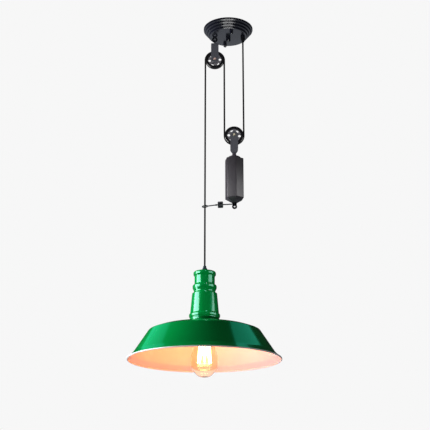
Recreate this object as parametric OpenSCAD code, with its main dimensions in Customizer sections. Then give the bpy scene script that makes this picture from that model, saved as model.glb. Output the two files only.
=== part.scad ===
// Rise and fall pendant: a shade on one flex that runs over a fixed wheel and
// under a moving wheel, balanced by a hexagonal counterweight.
// The origin is the centre of the canopy on the ceiling, with +Z up.

/* [Layout] */
// Distance from the canopy's centre to the upper block's eye
hook_offset = 34.7; // [33:0.1:36]
// Depth of the lower wheel's axle below the ceiling
lower_axle_drop = 299; // [280:0.5:320]
// Depth of the lamp's neck top below the ceiling
lamp_drop = 651.5; // [640:0.5:700]
// Angle between the bracket's line and the Y axis
bracket_turn = 12.5; // [0:0.5:20]

/* [Flex and clearances] */
// Outer diameter of the round flex
cord_d = 4.2; // [3.6:0.1:4.6]
// Radial room round the flex in a bore or a groove
cord_play = 0.2; // [0.15:0.01:0.3]
// Radial play between an axle or a rod and what turns on it
running_play = 0.06; // [0.03:0.01:0.1]
// Room between neighbours that move against each other
moving_gap = 0.3; // [0.3:0.05:0.6]
// Radial room round a screw or a threaded stem in a plain hole
screw_play = 0.2; // [0.1:0.05:0.4]
// Radial play between a thread or a pin and the hole that holds it
thread_play = 0.05; // [0.02:0.01:0.08]

/* [Canopy] */
// Diameter of the canopy at the ceiling
canopy_d = 127; // [125:1:135]
// Diameter of the canopy's flat bottom, to the last step's corner
canopy_bottom_d = 99.4; // [98:0.1:101]
// Height of the canopy
canopy_h = 23; // [22.5:0.5:25]
// Sheet thickness of the canopy
canopy_wall = 1.2; // [0.8:0.1:1.5]
// Number of rounded steps in the canopy's side
canopy_steps = 4; // [3:1:5]
// Rounding of each step's edge
step_round = 3.4; // [2:0.1:3.6]

/* [Ceiling bracket] */
// Width of the bracket's strap
strap_w = 20; // [16:1:22]
// Thickness of the bracket's strap
strap_t = 2; // [1.5:0.1:2.5]
// Length of the bracket from end to end
strap_l = 86; // [84:1:96]
// Length of the bracket's middle, which lies on the ceiling
strap_flat_l = 57; // [54:1:58]
// Drop of the bracket's two ends below the ceiling
strap_joggle = 6; // [5:0.5:7]
// Circle that the two ceiling screws lie on
ceiling_screw_circle_d = 51; // [48:0.5:52]
// Diameter of the holes for the ceiling screws
ceiling_hole_d = 5; // [4.5:0.1:5.5]
// Distance of each canopy screw from the centre
canopy_screw_r = 36; // [35:0.5:37.5]

/* [Canopy fasteners] */
// Diameter of the canopy screws
canopy_screw_d = 4; // [3.5:0.1:4.5]
// Diameter of a small screw's head
screw_head_d = 7; // [6.5:0.1:7.5]
// Height of a small screw's head
screw_head_h = 2.4; // [2:0.1:2.6]
// Width of the small cap nuts across their flats
cap_nut_w = 8.2; // [7.4:0.1:8.6]
// Length of the small cap nuts
cap_nut_l = 10; // [8:0.1:10.5]
// Diameter of the centre stud
centre_stud_d = 8; // [7:0.1:8.4]
// Diameter of the centre cap nut
centre_nut_d = 12.4; // [11.4:0.1:13]
// Length of the centre cap nut
centre_nut_l = 14; // [12:0.5:15]
// Height of the plain hexagon nuts inside the canopy
inner_nut_h = 4; // [3:0.1:4.5]

/* [Canopy wiring] */
// Length of the terminal block along the incoming flex
terminal_l = 13; // [11:0.5:14]
// Width of one of the terminal block's poles
terminal_pole_w = 6; // [5:0.1:6.5]
// Height of the terminal block
terminal_h = 14; // [13:0.1:14.5]
// Diameter of the terminal block's wire holes
terminal_hole_d = 3; // [2.5:0.1:3.5]
// Bend radius of the flex inside the canopy
tail_bend_r = 7; // [5:0.1:7.5]
// Straight rise of the flex above the canopy's bottom before its bend
tail_rise = 6; // [5.6:0.1:6.5]

/* [Hanging eye and hook] */
// Wire diameter of the hanging eye
eye_wire_d = 4; // [3.6:0.1:4]
// Radius of the hanging eye to the middle of its wire
eye_r = 5.2; // [5.2:0.1:5.6]
// Diameter of the eye's threaded shank
eye_shank_d = 5; // [4:0.1:6]
// Diameter of the flange between the eye and the canopy
eye_flange_d = 9; // [8:0.1:11]
// Thickness of that flange
eye_flange_t = 1; // [1:0.1:1.6]
// Wire diameter of the hook's loop
hook_wire_d = 2.6; // [2.4:0.1:2.6]
// Radius of the hook's loop to the middle of its wire
hook_r = 3.6; // [3.6:0.1:3.8]
// Diameter of the hook's shank
hook_shank_d = 4; // [3.4:0.1:4.6]
// Length of the hook's shank that shows above the yoke
hook_neck_l = 0.8; // [0.8:0.01:12]
// Length of the hook's shank below its nut
hook_end_l = 1.5; // [1:0.1:3]

/* [Cord grip on the canopy] */
// Diameter of the grip at the canopy
grip_d = 11.6; // [10.4:0.1:12]
// Diameter of the grip's lower end
grip_end_d = 7; // [6.6:0.1:8]
// Length of the grip below the canopy
grip_l = 14; // [12:0.5:16]
// Diameter of the grip's threaded stem
grip_stem_d = 9; // [8.6:0.1:9.2]
// Diameter of the grips' set screws
set_screw_d = 2.6; // [2:0.1:3]

/* [Wheels] */
// Radius of the wheel to the middle of the flex
rope_r = 24.2; // [24:0.1:24.8]
// Width of the wheel
wheel_w = 9; // [8:0.1:10]
// Outer radius of the wheel's rim
rim_r = 23.9; // [23:0.1:24]
// Inner radius of the wheel's rim
rim_inner_r = 17.2; // [17.1:0.1:18]
// Thickness of the wheel's web
web_t = 3; // [2.4:0.1:5]
// Radius of the wheel's hub
hub_r = 7.2; // [6:0.1:8]
// Number of holes in the wheel's web
web_holes = 6; // [5:1:6]
// Diameter of the holes in the web
web_hole_d = 7.2; // [6:0.1:7.4]
// Radius of the circle that the web's holes lie on
web_hole_r = 13.4; // [13:0.1:13.5]
// Edge bevel of the wheel's rim
rim_bevel = 0.8; // [0.4:0.1:1.2]
// Angle of the upper wheel's first hole
upper_hole_angle = 7; // [0:1:59]
// Angle of the lower wheel's first hole
lower_hole_angle = -5; // [-30:1:30]
// Outer diameter of the wheel's bush
bush_d = 9; // [8:0.1:10]

/* [Yokes and axles] */
// Width of the yoke's strap
yoke_w = 19.4; // [18:0.1:20.4]
// Thickness of the yoke's strap
yoke_t = 2.5; // [2:0.1:3]
// Distance from the axle to the outside of the yoke's crown
yoke_reach = 48; // [44:0.5:48.4]
// Rounding of the upper yoke's shoulders
yoke_round = 5; // [2:0.1:6]
// Length of the lower yoke's taper above its crown
taper_l = 12.5; // [10:0.1:15]
// Width of the lower yoke's neck
yoke_neck_w = 9.4; // [8.6:0.1:10]
// Diameter of the wheel axles
axle_d = 6; // [5:0.1:6.6]
// Diameter of the riveted ends of the axles
rivet_d = 7.6; // [7.2:0.1:9]
// Height of the riveted ends
rivet_h = 1.3; // [1:0.1:2]
// Thickness of the washers beside the wheel
washer_t = 0.8; // [0.5:0.1:1.2]
// Diameter of the washers beside the wheel
washer_d = 12; // [10:0.5:14]
// Diameter of the saddle nuts inside the yokes
saddle_d = 8; // [7:0.1:9]
// Height of the saddle nuts inside the yokes
saddle_h = 5; // [4:0.1:6]

/* [Counterweight] */
// Distance from the weight's axis to its corners
weight_r = 24.2; // [22:0.1:25]
// Length of the hexagonal body between its bevels
weight_l = 103.2; // [90:0.1:110]
// Length of the pyramid at the lower end
point_l = 11.8; // [10:0.1:16]
// Distance from the axis to the corners of the pyramid's flat tip
point_r = 5.6; // [5:0.1:6.4]
// Bevel round the weight's top
weight_bevel = 0.8; // [0.4:0.1:1.5]
// Turn of the hexagon, from +X towards -Y
weight_turn = 20; // [0:0.5:30]
// Diameter of the rod through the weight
rod_d = 5; // [4.4:0.1:5.6]
// Radius of the concave flare above the weight
flare_r = 10; // [8:0.1:12]
// Length of the base ring below the flare
flare_base_h = 5.4; // [4:0.1:9]
// Widening of the base ring from the flare to the weight
flare_base_step = 1.2; // [1:0.1:3]
// Outer diameter of the eye below the weight
weight_eye_d = 12.6; // [11:0.1:13]
// Hole of the eye below the weight
weight_eye_hole_d = 4.6; // [4.2:0.1:5.6]
// Thickness of the eye below the weight
weight_eye_t = 4.4; // [4:0.1:5]
// Thread length of the rod in the eye
eye_thread_l = 1.5; // [1.5:0.1:2]

/* [Guide arm] */
// Diameter of the collar on the rod
collar_d = 11; // [10:0.1:13]
// Height of the collar on the rod
collar_h = 4; // [3.8:0.1:5]
// Diameter of the guide rod
guide_d = 3; // [2.4:0.1:3.2]
// Slope of the guide rod, in degrees
guide_slope = 3; // [0:0.5:4]
// Further slope of the eye rod, in degrees
eye_rod_slope = 5; // [2:0.5:6]
// Distance along the arm from the weight's axis to the adjuster's middle
adjuster_offset = 34.7; // [32:0.1:38]
// Length of the knurled adjuster
adjuster_l = 13; // [12:0.1:16]
// Diameter of the knurled adjuster
adjuster_d = 16; // [12:0.1:18]
// Number of grooves round the adjuster
knurl_count = 24; // [16:1:32]
// Depth of the adjuster's grooves
knurl_depth = 0.6; // [0.3:0.1:0.8]
// Depth to which each rod enters the adjuster
rod_entry = 4.5; // [4:0.1:5]
// Diameter of the eye rod
eye_rod_d = 2.8; // [2.4:0.1:3]
// Length of the eye rod from the adjuster to its bend
eye_rod_lead = 4; // [3.8:0.1:5]
// Radius of the guide eye to the middle of its wire
guide_eye_r = 6.4; // [6:0.1:7.5]
// Diameter of the ferrule round the eye rod's bend
ferrule_d = 4.2; // [3.8:0.1:5]
// Length of the ferrule round the eye rod's bend
ferrule_l = 3.6; // [3:0.1:4]

/* [Neck] */
// Wall of the neck
neck_wall = 1.6; // [1.2:0.1:2]
// Radius of the neck's top collar
neck_top_r = 26.9; // [25.6:0.1:28]
// Height of the neck's top collar
neck_top_h = 8.4; // [7:0.1:9]
// Radius of the neck's waist
waist_r = 24.2; // [23:0.1:25]
// Depth of the ring's upper edge below the neck's top
ring_drop = 33; // [31:0.1:34]
// Height of the ring round the neck
ring_h = 13.4; // [12.6:0.1:14.4]
// Radius of the ring round the neck
ring_r = 28.7; // [27:0.1:30]
// Radius of the groove below the ring
groove_r = 25.4; // [24:0.1:26]
// Depth of the skirt's upper edge below the neck's top
skirt_drop = 53; // [52:0.1:57]
// Radius of the skirt's upper edge
skirt_top_r = 29.7; // [28.6:0.1:30.4]
// Radius of the skirt's lower edge
skirt_r = 34.1; // [33:0.1:34.6]
// Height of the band between the skirt's lower edge and the shade
foot_band_h = 11.5; // [10.5:0.1:13]
// Radius of the bead at the neck's foot
bead_r = 36.8; // [36:0.1:38]
// Height of the bead at the neck's foot
bead_h = 5.1; // [4.8:0.1:6]
// Height of the flanks between the neck's steps
flank_h = 3.6; // [3:0.1:3.8]
// Rounding of the neck's top edge
neck_top_round = 4.5; // [3:0.1:5]
// Rounding of the ring round the neck
ring_round = 3.8; // [2.5:0.1:4]
// Rounding of the neck's other corners
neck_round = 2; // [1:0.1:2.2]
// Height of the neck
neck_h = 114; // [111:0.1:118]
// Outer radius of the neck's foot
foot_r = 34.8; // [34.5:0.1:35.4]

/* [Shade] */
// Sheet thickness of the shade
shade_wall = 1; // [0.8:0.1:1.2]
// Diameter of the shade's hole round the lampholder
shade_hole_d = 41.4; // [41:0.1:42]
// Height of the cove between the neck and the shade's crown
cove_h = 14.4; // [12:0.1:16]
// Rounding at the foot of the cove
cove_round = 6; // [3:0.5:7]
// Radius of the change of slope in the crown
crown_r = 104; // [98:1:108]
// Drop of the crown to the change of slope
crown_drop = 6.9; // [6:0.1:8]
// Rounding of the change of slope
crown_round = 120; // [60:5:150]
// Radius of the shoulder's corner
shoulder_r = 131.7; // [129:0.1:134]
// Drop from the change of slope to the shoulder's corner
shoulder_drop = 10; // [8:0.1:10.5]
// Rounding of the shoulder
shoulder_round = 5; // [4:0.5:10]
// Radius at which the lip flares out
lip_r = 167; // [164:0.5:172]
// Height of the straight cone
cone_h = 53.7; // [50:0.1:62]
// Radius of the rim
rim_radius = 178.6; // [176:0.1:182]
// Height of the flared lip
lip_h = 11.1; // [10:0.1:15]
// Rounding between the cone and the lip
lip_round = 30; // [10:1:40]
// Radius of the rolled bead at the rim
rim_bead_r = 1.7; // [1.4:0.1:2.2]

/* [Lampholder] */
// Outer diameter of the threaded tube in the neck
nipple_d = 10; // [9.4:0.1:10.4]
// Bore of the threaded tube
nipple_bore = 6.8; // [6:0.1:7.2]
// Height of the lampholder's top above the shade
holder_rise = 42.5; // [40:0.5:46]
// Height of the lampholder's domed cap
holder_cap_h = 21; // [18:0.5:24]
// Outer diameter of the lampholder
holder_d = 39.8; // [39:0.1:40.4]
// Wall of the lampholder
holder_wall = 2.6; // [2:0.1:3]
// Length of the lampholder below the shade's top face
holder_skirt_l = 26; // [24:0.5:28]
// Height of the flange that bears on the shade
flange_h = 3; // [2:0.1:4]
// Width of the flange beyond the lampholder's side
flange_w = 3.2; // [2:0.1:4]
// Height of the shade ring
ring_nut_h = 8; // [6:0.1:10]
// Thickness of the shade ring
ring_nut_t = 4.6; // [3:0.1:5]
// Height of the ceramic core
core_h = 14; // [12:0.5:15]
// Wall of the threaded shell
shell_wall = 0.5; // [0.4:0.1:0.8]

/* [Cord grip on the lamp] */
// Diameter of the lamp grip's base
lamp_grip_d = 13; // [12.6:0.1:14]
// Diameter of the lamp grip's top
lamp_grip_end_d = 7; // [6.6:0.1:8]
// Height of the lamp grip
lamp_grip_h = 14.5; // [13:0.1:16]
// Height to which the threaded tube enters the grip
nipple_entry = 4; // [3:0.1:4.5]

/* [Bulb] */
// Outer diameter of the bulb's screw cap
bulb_cap_d = 26.2; // [26:0.1:26.4]
// Length of the bulb's cap with its contact
bulb_cap_l = 27; // [26:0.5:28]
// Overall length of the bulb
bulb_l = 141; // [138:1:146]
// Largest diameter of the bulb
bulb_d = 64; // [60:0.5:66]
// Height of the bulb's widest place above its tip
bulb_wide_h = 33.5; // [28:0.5:36]
// Height of the steep side round the bulb's widest place
bulb_side_h = 25; // [20:0.5:28]
// Diameter where the bulb's neck turns into its flank
bulb_shoulder_d = 36; // [33:0.5:40]
// Length of the bulb's neck below its cap
bulb_neck_l = 22; // [18:0.5:26]
// Diameter where the bulb's rounded end turns into its tip
bulb_tip_d = 29; // [24:0.5:32]
// Height of the bulb's tip
bulb_tip_h = 2.5; // [2:0.1:4]
// Wall of the glass
glass_wall = 0.9; // [0.7:0.1:1.2]
// Number of filament strands
strands = 8; // [6:1:12]
// Diameter of a strand
strand_d = 0.9; // [0.6:0.1:1.2]
// Radius of the filament cage at its upper end
cage_top_r = 11; // [6:0.1:12]
// Radius of the filament cage at its lower end
cage_r = 16; // [10:0.1:17]
// Length of the filament cage
cage_l = 62; // [50:1:68]
// Diameter of the wires that hold the strands
support_wire_d = 0.8; // [0.6:0.1:1]

/* [Hidden] */

$fn = 48;
// Room that keeps a cut clear of the face it starts from
cut = 1;

// Where the four falls of the flex and the two wheels stand
hook_x = -hook_offset;
lamp_x = hook_x - rope_r;
middle_x = hook_x + rope_r;
weight_x = middle_x + rope_r;
anchor_x = weight_x + rope_r;
lower_z = -lower_axle_drop;
cord_r = cord_d / 2;
cord_bore_r = cord_r + cord_play;

// The canopy's inside
canopy_floor = -canopy_h + canopy_wall;
bracket_ear_top = -strap_joggle;
bracket_ear_z = bracket_ear_top - strap_t;

// The hanging eye, and the hook's loop that rests in it
eye_z = -canopy_h - eye_flange_t - eye_r - eye_wire_d / 6;
link_seat = 0.12;
hook_z = eye_z - eye_r + (eye_wire_d + hook_wire_d) / 2 + link_seat - hook_r;
upper_z = hook_z - hook_r - hook_wire_d / 2 - hook_neck_l - yoke_reach;

// The grip on the canopy and the place where the flex's tail begins
grip_bottom = -canopy_h - grip_l;
tail_z = grip_bottom + grip_l / 3;

// The yokes
yoke_gap = wheel_w + 2 * (moving_gap + washer_t);
yoke_outer = yoke_gap + 2 * yoke_t;
crown_r_inner = yoke_gap / 2;
crown_r_outer = yoke_outer / 2;
axle_r = axle_d / 2;
saddle_clear = 0.05;

// The counterweight's stack on its rod
weight_crown_z = lower_z - yoke_reach;
cap_z = weight_crown_z - moving_gap;
flare_h = flare_r + flare_base_h;
weight_top = cap_z - flare_h;
weight_foot = weight_top - weight_l;
weight_tip = weight_foot - point_l;
rod_r = rod_d / 2;
rod_bore_r = rod_r + running_play;
collar_top = weight_tip - moving_gap;
collar_z = collar_top - collar_h / 2;
eye_nut_top = collar_top - collar_h - moving_gap;
rod_end = eye_nut_top - eye_thread_l;
weight_eye_z = rod_end - 0.5 - weight_eye_hole_d / 2;

// The guide arm, measured along itself from the rod's axis
guide_r = guide_d / 2;
adjuster_near = adjuster_offset - adjuster_l / 2;
adjuster_far = adjuster_offset + adjuster_l / 2;
eye_rod_r = eye_rod_d / 2;
eye_rod_start = adjuster_far - rod_entry;
eye_rod_bend = adjuster_far + eye_rod_lead;
guide_span = weight_x - lamp_x;
eye_rod_l = (guide_span - eye_rod_bend * cos(guide_slope)) / cos(guide_slope + eye_rod_slope);

// The lamp, measured from the top of its neck
lamp_z = -lamp_drop;
tail_top = lamp_grip_h * 0.7;
nipple_r = nipple_d / 2;
nipple_bore_r = nipple_r + thread_play;
holder_drop = neck_h - holder_rise;
nipple_end = -holder_drop - inner_nut_h - 3;
bead_top = foot_band_h - 0.8 * flank_h;
holder_r = holder_d / 2;
holder_inner_r = holder_r - holder_wall;
holder_body_top = -holder_drop - holder_cap_h;
shade_z = -neck_h;
cove_z = shade_z - cove_h;
shoulder_z = cove_z - crown_drop - shoulder_drop;
holder_bottom = shade_z - holder_skirt_l;
core_bottom = shade_z + 3.5;
core_r = holder_inner_r - 0.3;
contact_t = 1.2;
bulb_top = core_bottom - contact_t - moving_gap;
bulb_tip = bulb_top - bulb_l;
cap_r = bulb_cap_d / 2;
shell_bore_r = cap_r + moving_gap;
cap_lip = bulb_top - bulb_cap_l;
cap_wall = 0.5;

// ---------------------------------------------------------------------------
// Outlines

function unit(v) = v / norm(v);

function flat_point(p) = [p[0], p[1]];

function reversed(line) = [for (i = [len(line) - 1:-1:0]) line[i]];

// Points of the arc of radius r that rounds the corner at b
function corner_arc(a, b, c, r, n) =
    let (
        u = unit(a - b),
        v = unit(c - b),
        half = acos(u * v) / 2,
        centre = b + unit(u + v) * r / sin(half),
        from = b + u * r / tan(half) - centre,
        to = b + v * r / tan(half) - centre,
        start = atan2(from[1], from[0]),
        turn = atan2(to[1], to[0]) - start,
        sweep = turn > 180 ? turn - 360 : turn < -180 ? turn + 360 : turn
    )
    [for (i = [0:n]) centre + r * [cos(start + sweep * i / n), sin(start + sweep * i / n)]];

// A line through corners [x, y, rounding]; a rounding of 0 leaves a corner sharp
function rounded_line(corners, n = 4) = [
    for (i = [0:len(corners) - 1])
        let (b = flat_point(corners[i]), r = corners[i][2])
        each (i == 0 || i == len(corners) - 1 || r == 0)
            ? [b]
            : corner_arc(flat_point(corners[i - 1]), b, flat_point(corners[i + 1]), r, n)
];

function left_normal(a, b) = unit([a[1] - b[1], b[0] - a[0]]);

// The line moved sideways by d, with mitred corners
function offset_line(line, d) = [
    for (i = [0:len(line) - 1])
        let (
            last = len(line) - 1,
            before = left_normal(line[max(i - 1, 0)], line[max(i, 1)]),
            after = left_normal(line[min(i, last - 1)], line[min(i + 1, last)])
        )
        line[i] + d * (before + after) / (1 + before * after)
];

// Outline of a sheet whose outer face follows the line
function sheet_outline(line, wall) = concat(line, reversed(offset_line(line, -wall)));

// The same, with its far edge rolled into a bead of radius r
function beaded_outline(line, wall, r, n = 20) =
    let (
        inner = offset_line(line, -wall),
        last = len(line) - 1,
        ahead = unit(line[last] - line[last - 1]),
        half = asin(wall / 2 / r),
        centre = (line[last] + inner[last]) / 2 + ahead * r * cos(half),
        from = line[last] - centre,
        start = atan2(from[1], from[0]),
        sweep = 2 * half - 360
    )
    concat(
        line,
        [for (i = [1:n - 1]) centre + r * [cos(start + sweep * i / n), sin(start + sweep * i / n)]],
        reversed(inner)
    );

// ---------------------------------------------------------------------------
// Shapes that repeat

// A solid along Y, as a wheel or an axle is
module along_y() {
    rotate([90, 0, 0]) children();
}

module on_bracket_line() {
    rotate([0, 0, bracket_turn]) children();
}

module ring(outer_r, inner_r, h) {
    difference() {
        cylinder(r = outer_r, h = h);
        translate([0, 0, -cut]) cylinder(r = inner_r, h = h + 2 * cut);
    }
}

// A hexagon nut on a thread of radius thread_r
module hex_nut(width, thread_r, h) {
    difference() {
        cylinder(r = width / sqrt(3), h = h, $fn = 6);
        translate([0, 0, -cut]) cylinder(r = thread_r + thread_play, h = h + 2 * cut);
    }
}

// A screw along -Z with its head on z = 0
module pan_screw(d, l, head_d, head_h) {
    rotate_extrude() polygon(rounded_line([
        [0, head_h, 0],
        [head_d / 2, head_h, head_h * 0.7],
        [head_d / 2, 0, 0],
        [d / 2, 0, 0],
        [d / 2, -l, 0],
        [0, -l, 0]
    ]));
}

// A domed nut that hangs from z = 0, hexagonal at its mouth
module cap_nut(width, l, thread_r) {
    hex_h = l * 0.45;
    dome_r = width / 2;
    difference() {
        union() {
            translate([0, 0, -hex_h]) cylinder(r = width / sqrt(3), h = hex_h, $fn = 6);
            translate([0, 0, -l]) rotate_extrude() polygon(rounded_line([
                [0, 0, 0],
                [dome_r, 0, dome_r * 0.85],
                [dome_r, l - hex_h, 0],
                [0, l - hex_h, 0]
            ]));
        }
        translate([0, 0, -l * 0.75]) cylinder(r = thread_r + thread_play, h = l);
    }
}

// A grooved and pierced wheel with its axis along Y
module wheel(first_hole) {
    half = wheel_w / 2;
    along_y() difference() {
        rotate_extrude($fn = 96) difference() {
            union() {
                polygon([
                    [rim_inner_r, -half],
                    [rim_r - rim_bevel, -half],
                    [rim_r, -half + rim_bevel],
                    [rim_r, half - rim_bevel],
                    [rim_r - rim_bevel, half],
                    [rim_inner_r, half]
                ]);
                translate([bush_d / 2 + 1, -web_t / 2]) square([rim_inner_r - bush_d / 2, web_t]);
                translate([bush_d / 2, -half]) square([hub_r - bush_d / 2, wheel_w]);
            }
            translate([rope_r, 0]) circle(r = cord_bore_r);
        }
        for (i = [0:web_holes - 1])
            rotate([0, 0, first_hole + i * 360 / web_holes])
                translate([web_hole_r, 0, -wheel_w]) cylinder(d = web_hole_d, h = 2 * wheel_w);
    }
}

module bush() {
    along_y() translate([0, 0, -wheel_w / 2]) ring(bush_d / 2, axle_r + running_play, wheel_w);
}

module spacers() {
    along_y() for (side = [0, 1]) mirror([0, 0, side])
        translate([0, 0, wheel_w / 2 + moving_gap]) ring(washer_d / 2, axle_r + thread_play, washer_t);
}

// Riveted axle along Y
module axle() {
    end = yoke_outer / 2;
    along_y() rotate_extrude() polygon(concat(
        rounded_line([
            [0, -end - rivet_h, 0],
            [rivet_d / 2, -end - rivet_h, rivet_h * 0.85],
            [rivet_d / 2, -end, 0],
            [axle_r, -end, 0]
        ]),
        reversed(rounded_line([
            [0, end + rivet_h, 0],
            [rivet_d / 2, end + rivet_h, rivet_h * 0.85],
            [rivet_d / 2, end, 0],
            [axle_r, end, 0]
        ]))
    ));
}

// Half a turn of flex in a wheel's groove, on the side of +Z
module half_turn() {
    along_y() rotate_extrude(angle = 180, $fn = 96) translate([rope_r, 0]) circle(r = cord_r, $fn = 24);
}

// A strap bent over its crown, with its axle hole at the origin and its crown
// towards +Z. The child is its outline, seen along the axle.
module bent_yoke(shank_r) {
    leg_l = yoke_reach - crown_r_outer;
    foot = yoke_w / 2 + cut;
    difference() {
        intersection() {
            rotate([90, 0, 90]) translate([0, 0, -yoke_w / 2]) linear_extrude(yoke_w) difference() {
                union() {
                    translate([0, leg_l]) circle(r = crown_r_outer, $fn = 64);
                    translate([-crown_r_outer, -foot]) square([yoke_outer, leg_l + foot]);
                }
                translate([0, leg_l]) circle(r = crown_r_inner, $fn = 64);
                translate([-crown_r_inner, -foot - cut]) square([yoke_gap, leg_l + foot + cut]);
            }
            along_y() translate([0, 0, -yoke_outer]) linear_extrude(2 * yoke_outer) children();
        }
        along_y() translate([0, 0, -yoke_outer])
            cylinder(r = axle_r + thread_play, h = 2 * yoke_outer);
        translate([0, 0, leg_l]) cylinder(r = shank_r + thread_play, h = yoke_reach);
    }
}

// A nut whose underside fits the inside of a yoke's crown, in the yoke's frame
module saddle(thread_r) {
    leg_l = yoke_reach - crown_r_outer;
    top = yoke_reach - yoke_t;
    difference() {
        intersection() {
            translate([0, 0, top - saddle_h]) cylinder(d = saddle_d, h = saddle_h + cut);
            union() {
                translate([-saddle_d, 0, leg_l]) rotate([0, 90, 0])
                    cylinder(r = crown_r_inner - saddle_clear, h = 2 * saddle_d, $fn = 64);
                translate([-saddle_d, -saddle_d, top - saddle_h - cut])
                    cube([2 * saddle_d, 2 * saddle_d, leg_l - top + saddle_h + cut]);
            }
        }
        translate([0, 0, top - saddle_h - cut])
            cylinder(r = thread_r + thread_play, h = saddle_h + 3 * cut);
    }
}

module at_upper_wheel() {
    translate([hook_x, 0, upper_z]) children();
}

module at_lower_wheel() {
    translate([weight_x, 0, lower_z]) children();
}

// The lower block's frame, with its crown pointing down
module at_lower_block() {
    at_lower_wheel() rotate([180, 0, 0]) children();
}

module on_weight_axis(z) {
    translate([weight_x, 0, z]) children();
}

// The arm's frame, with the arm along -X
module along_arm() {
    on_weight_axis(collar_z) rotate([0, -guide_slope, 0]) children();
}

module rod_along_arm(start, end, r) {
    translate([-end, 0, 0]) rotate([0, 90, 0]) cylinder(r = r, h = end - start);
}

module in_lamp() {
    translate([lamp_x, 0, lamp_z]) children();
}

module straight_cord(x, top, bottom) {
    translate([x, 0, bottom]) cylinder(r = cord_r, h = top - bottom, $fn = 24);
}

// ---------------------------------------------------------------------------
// Canopy

// The joggled strap that is screwed to the ceiling
module ceiling_bracket() {
    half = strap_l / 2;
    flat = strap_flat_l / 2;
    ramp = flat + strap_joggle / 2;
    color("silver") on_bracket_line() difference() {
        rotate([90, 0, 90]) translate([0, 0, -strap_w / 2]) linear_extrude(strap_w) polygon([
            [-half, bracket_ear_top],
            [-ramp, bracket_ear_top],
            [-flat, 0],
            [flat, 0],
            [ramp, bracket_ear_top],
            [half, bracket_ear_top],
            [half, bracket_ear_z],
            [ramp - strap_t / 2, bracket_ear_z],
            [flat - strap_t / 2, -strap_t],
            [-flat + strap_t / 2, -strap_t],
            [-ramp + strap_t / 2, bracket_ear_z],
            [-half, bracket_ear_z]
        ]);
        for (side = [-1, 1]) {
            translate([0, side * ceiling_screw_circle_d / 2, -strap_t - cut])
                cylinder(d = ceiling_hole_d, h = strap_t + 2 * cut);
            translate([0, side * canopy_screw_r, bracket_ear_z - cut])
                cylinder(r = canopy_screw_d / 2 + thread_play, h = strap_t + 2 * cut);
        }
        translate([0, 0, -strap_t - cut])
            cylinder(r = centre_stud_d / 2 + thread_play, h = strap_t + 2 * cut);
        translate([0, earth_offset, -strap_t - cut])
            cylinder(r = canopy_screw_d / 2 + thread_play, h = strap_t + 2 * cut);
    }
}
earth_offset = 15;

// The stepped, spun shell
module canopy_shell() {
    top_r = canopy_d / 2;
    bottom_r = canopy_bottom_d / 2;
    run = (top_r - bottom_r) / (canopy_steps - 1);
    rise = canopy_h / canopy_steps;
    corners = [
        [top_r, 0, 0],
        for (i = [0:canopy_steps - 1]) each [
            [top_r - i * run, -(i + 1) * rise, step_round],
            if (i < canopy_steps - 1) [top_r - (i + 1) * run, -(i + 1) * rise, 0.6]
        ],
        [0, -canopy_h, 0]
    ];
    color("#262833") difference() {
        rotate_extrude($fn = 128) polygon(sheet_outline(rounded_line(corners), canopy_wall));
        translate([0, 0, -canopy_h - cut]) {
            on_bracket_line() for (side = [-1, 1]) translate([0, side * canopy_screw_r, 0])
                cylinder(r = canopy_screw_d / 2 + screw_play, h = canopy_wall + 2 * cut);
            cylinder(r = centre_stud_d / 2 + screw_play, h = canopy_wall + 2 * cut);
            translate([hook_x, 0, 0])
                cylinder(r = eye_shank_d / 2 + screw_play, h = canopy_wall + 2 * cut);
            translate([anchor_x, 0, 0])
                cylinder(r = grip_stem_d / 2 + screw_play, h = canopy_wall + 2 * cut);
        }
    }
}

// Two long screws from the bracket's ends down through the shell
module canopy_screws() {
    color("silver") on_bracket_line() for (side = [-1, 1])
        translate([0, side * canopy_screw_r, bracket_ear_top])
            pan_screw(
                canopy_screw_d,
                bracket_ear_top + canopy_h + cap_nut_l * 0.7,
                screw_head_d,
                screw_head_h
            );
}

module canopy_cap_nuts() {
    color("#262833") on_bracket_line() for (side = [-1, 1])
        translate([0, side * canopy_screw_r, -canopy_h])
            cap_nut(cap_nut_w, cap_nut_l, canopy_screw_d / 2);
}

module centre_stud() {
    color("silver") translate([0, 0, -canopy_h - centre_nut_l * 0.65])
        cylinder(d = centre_stud_d, h = canopy_h + centre_nut_l * 0.65 - 0.3);
}

module centre_lock_nut() {
    color("silver") translate([0, 0, -strap_t - inner_nut_h])
        hex_nut(centre_stud_d * 1.6, centre_stud_d / 2, inner_nut_h);
}

// Round domed nut under the middle of the shell
module centre_cap_nut() {
    r = centre_nut_d / 2;
    color("#262833") translate([0, 0, -canopy_h]) difference() {
        rotate_extrude() polygon(rounded_line([
            [0, 0, 0],
            [r, 0, 0.6],
            [r, -centre_nut_l, r * 0.9],
            [0, -centre_nut_l, 0]
        ]));
        translate([0, 0, -centre_nut_l * 0.72])
            cylinder(r = centre_stud_d / 2 + thread_play, h = centre_nut_l);
    }
}

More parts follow.
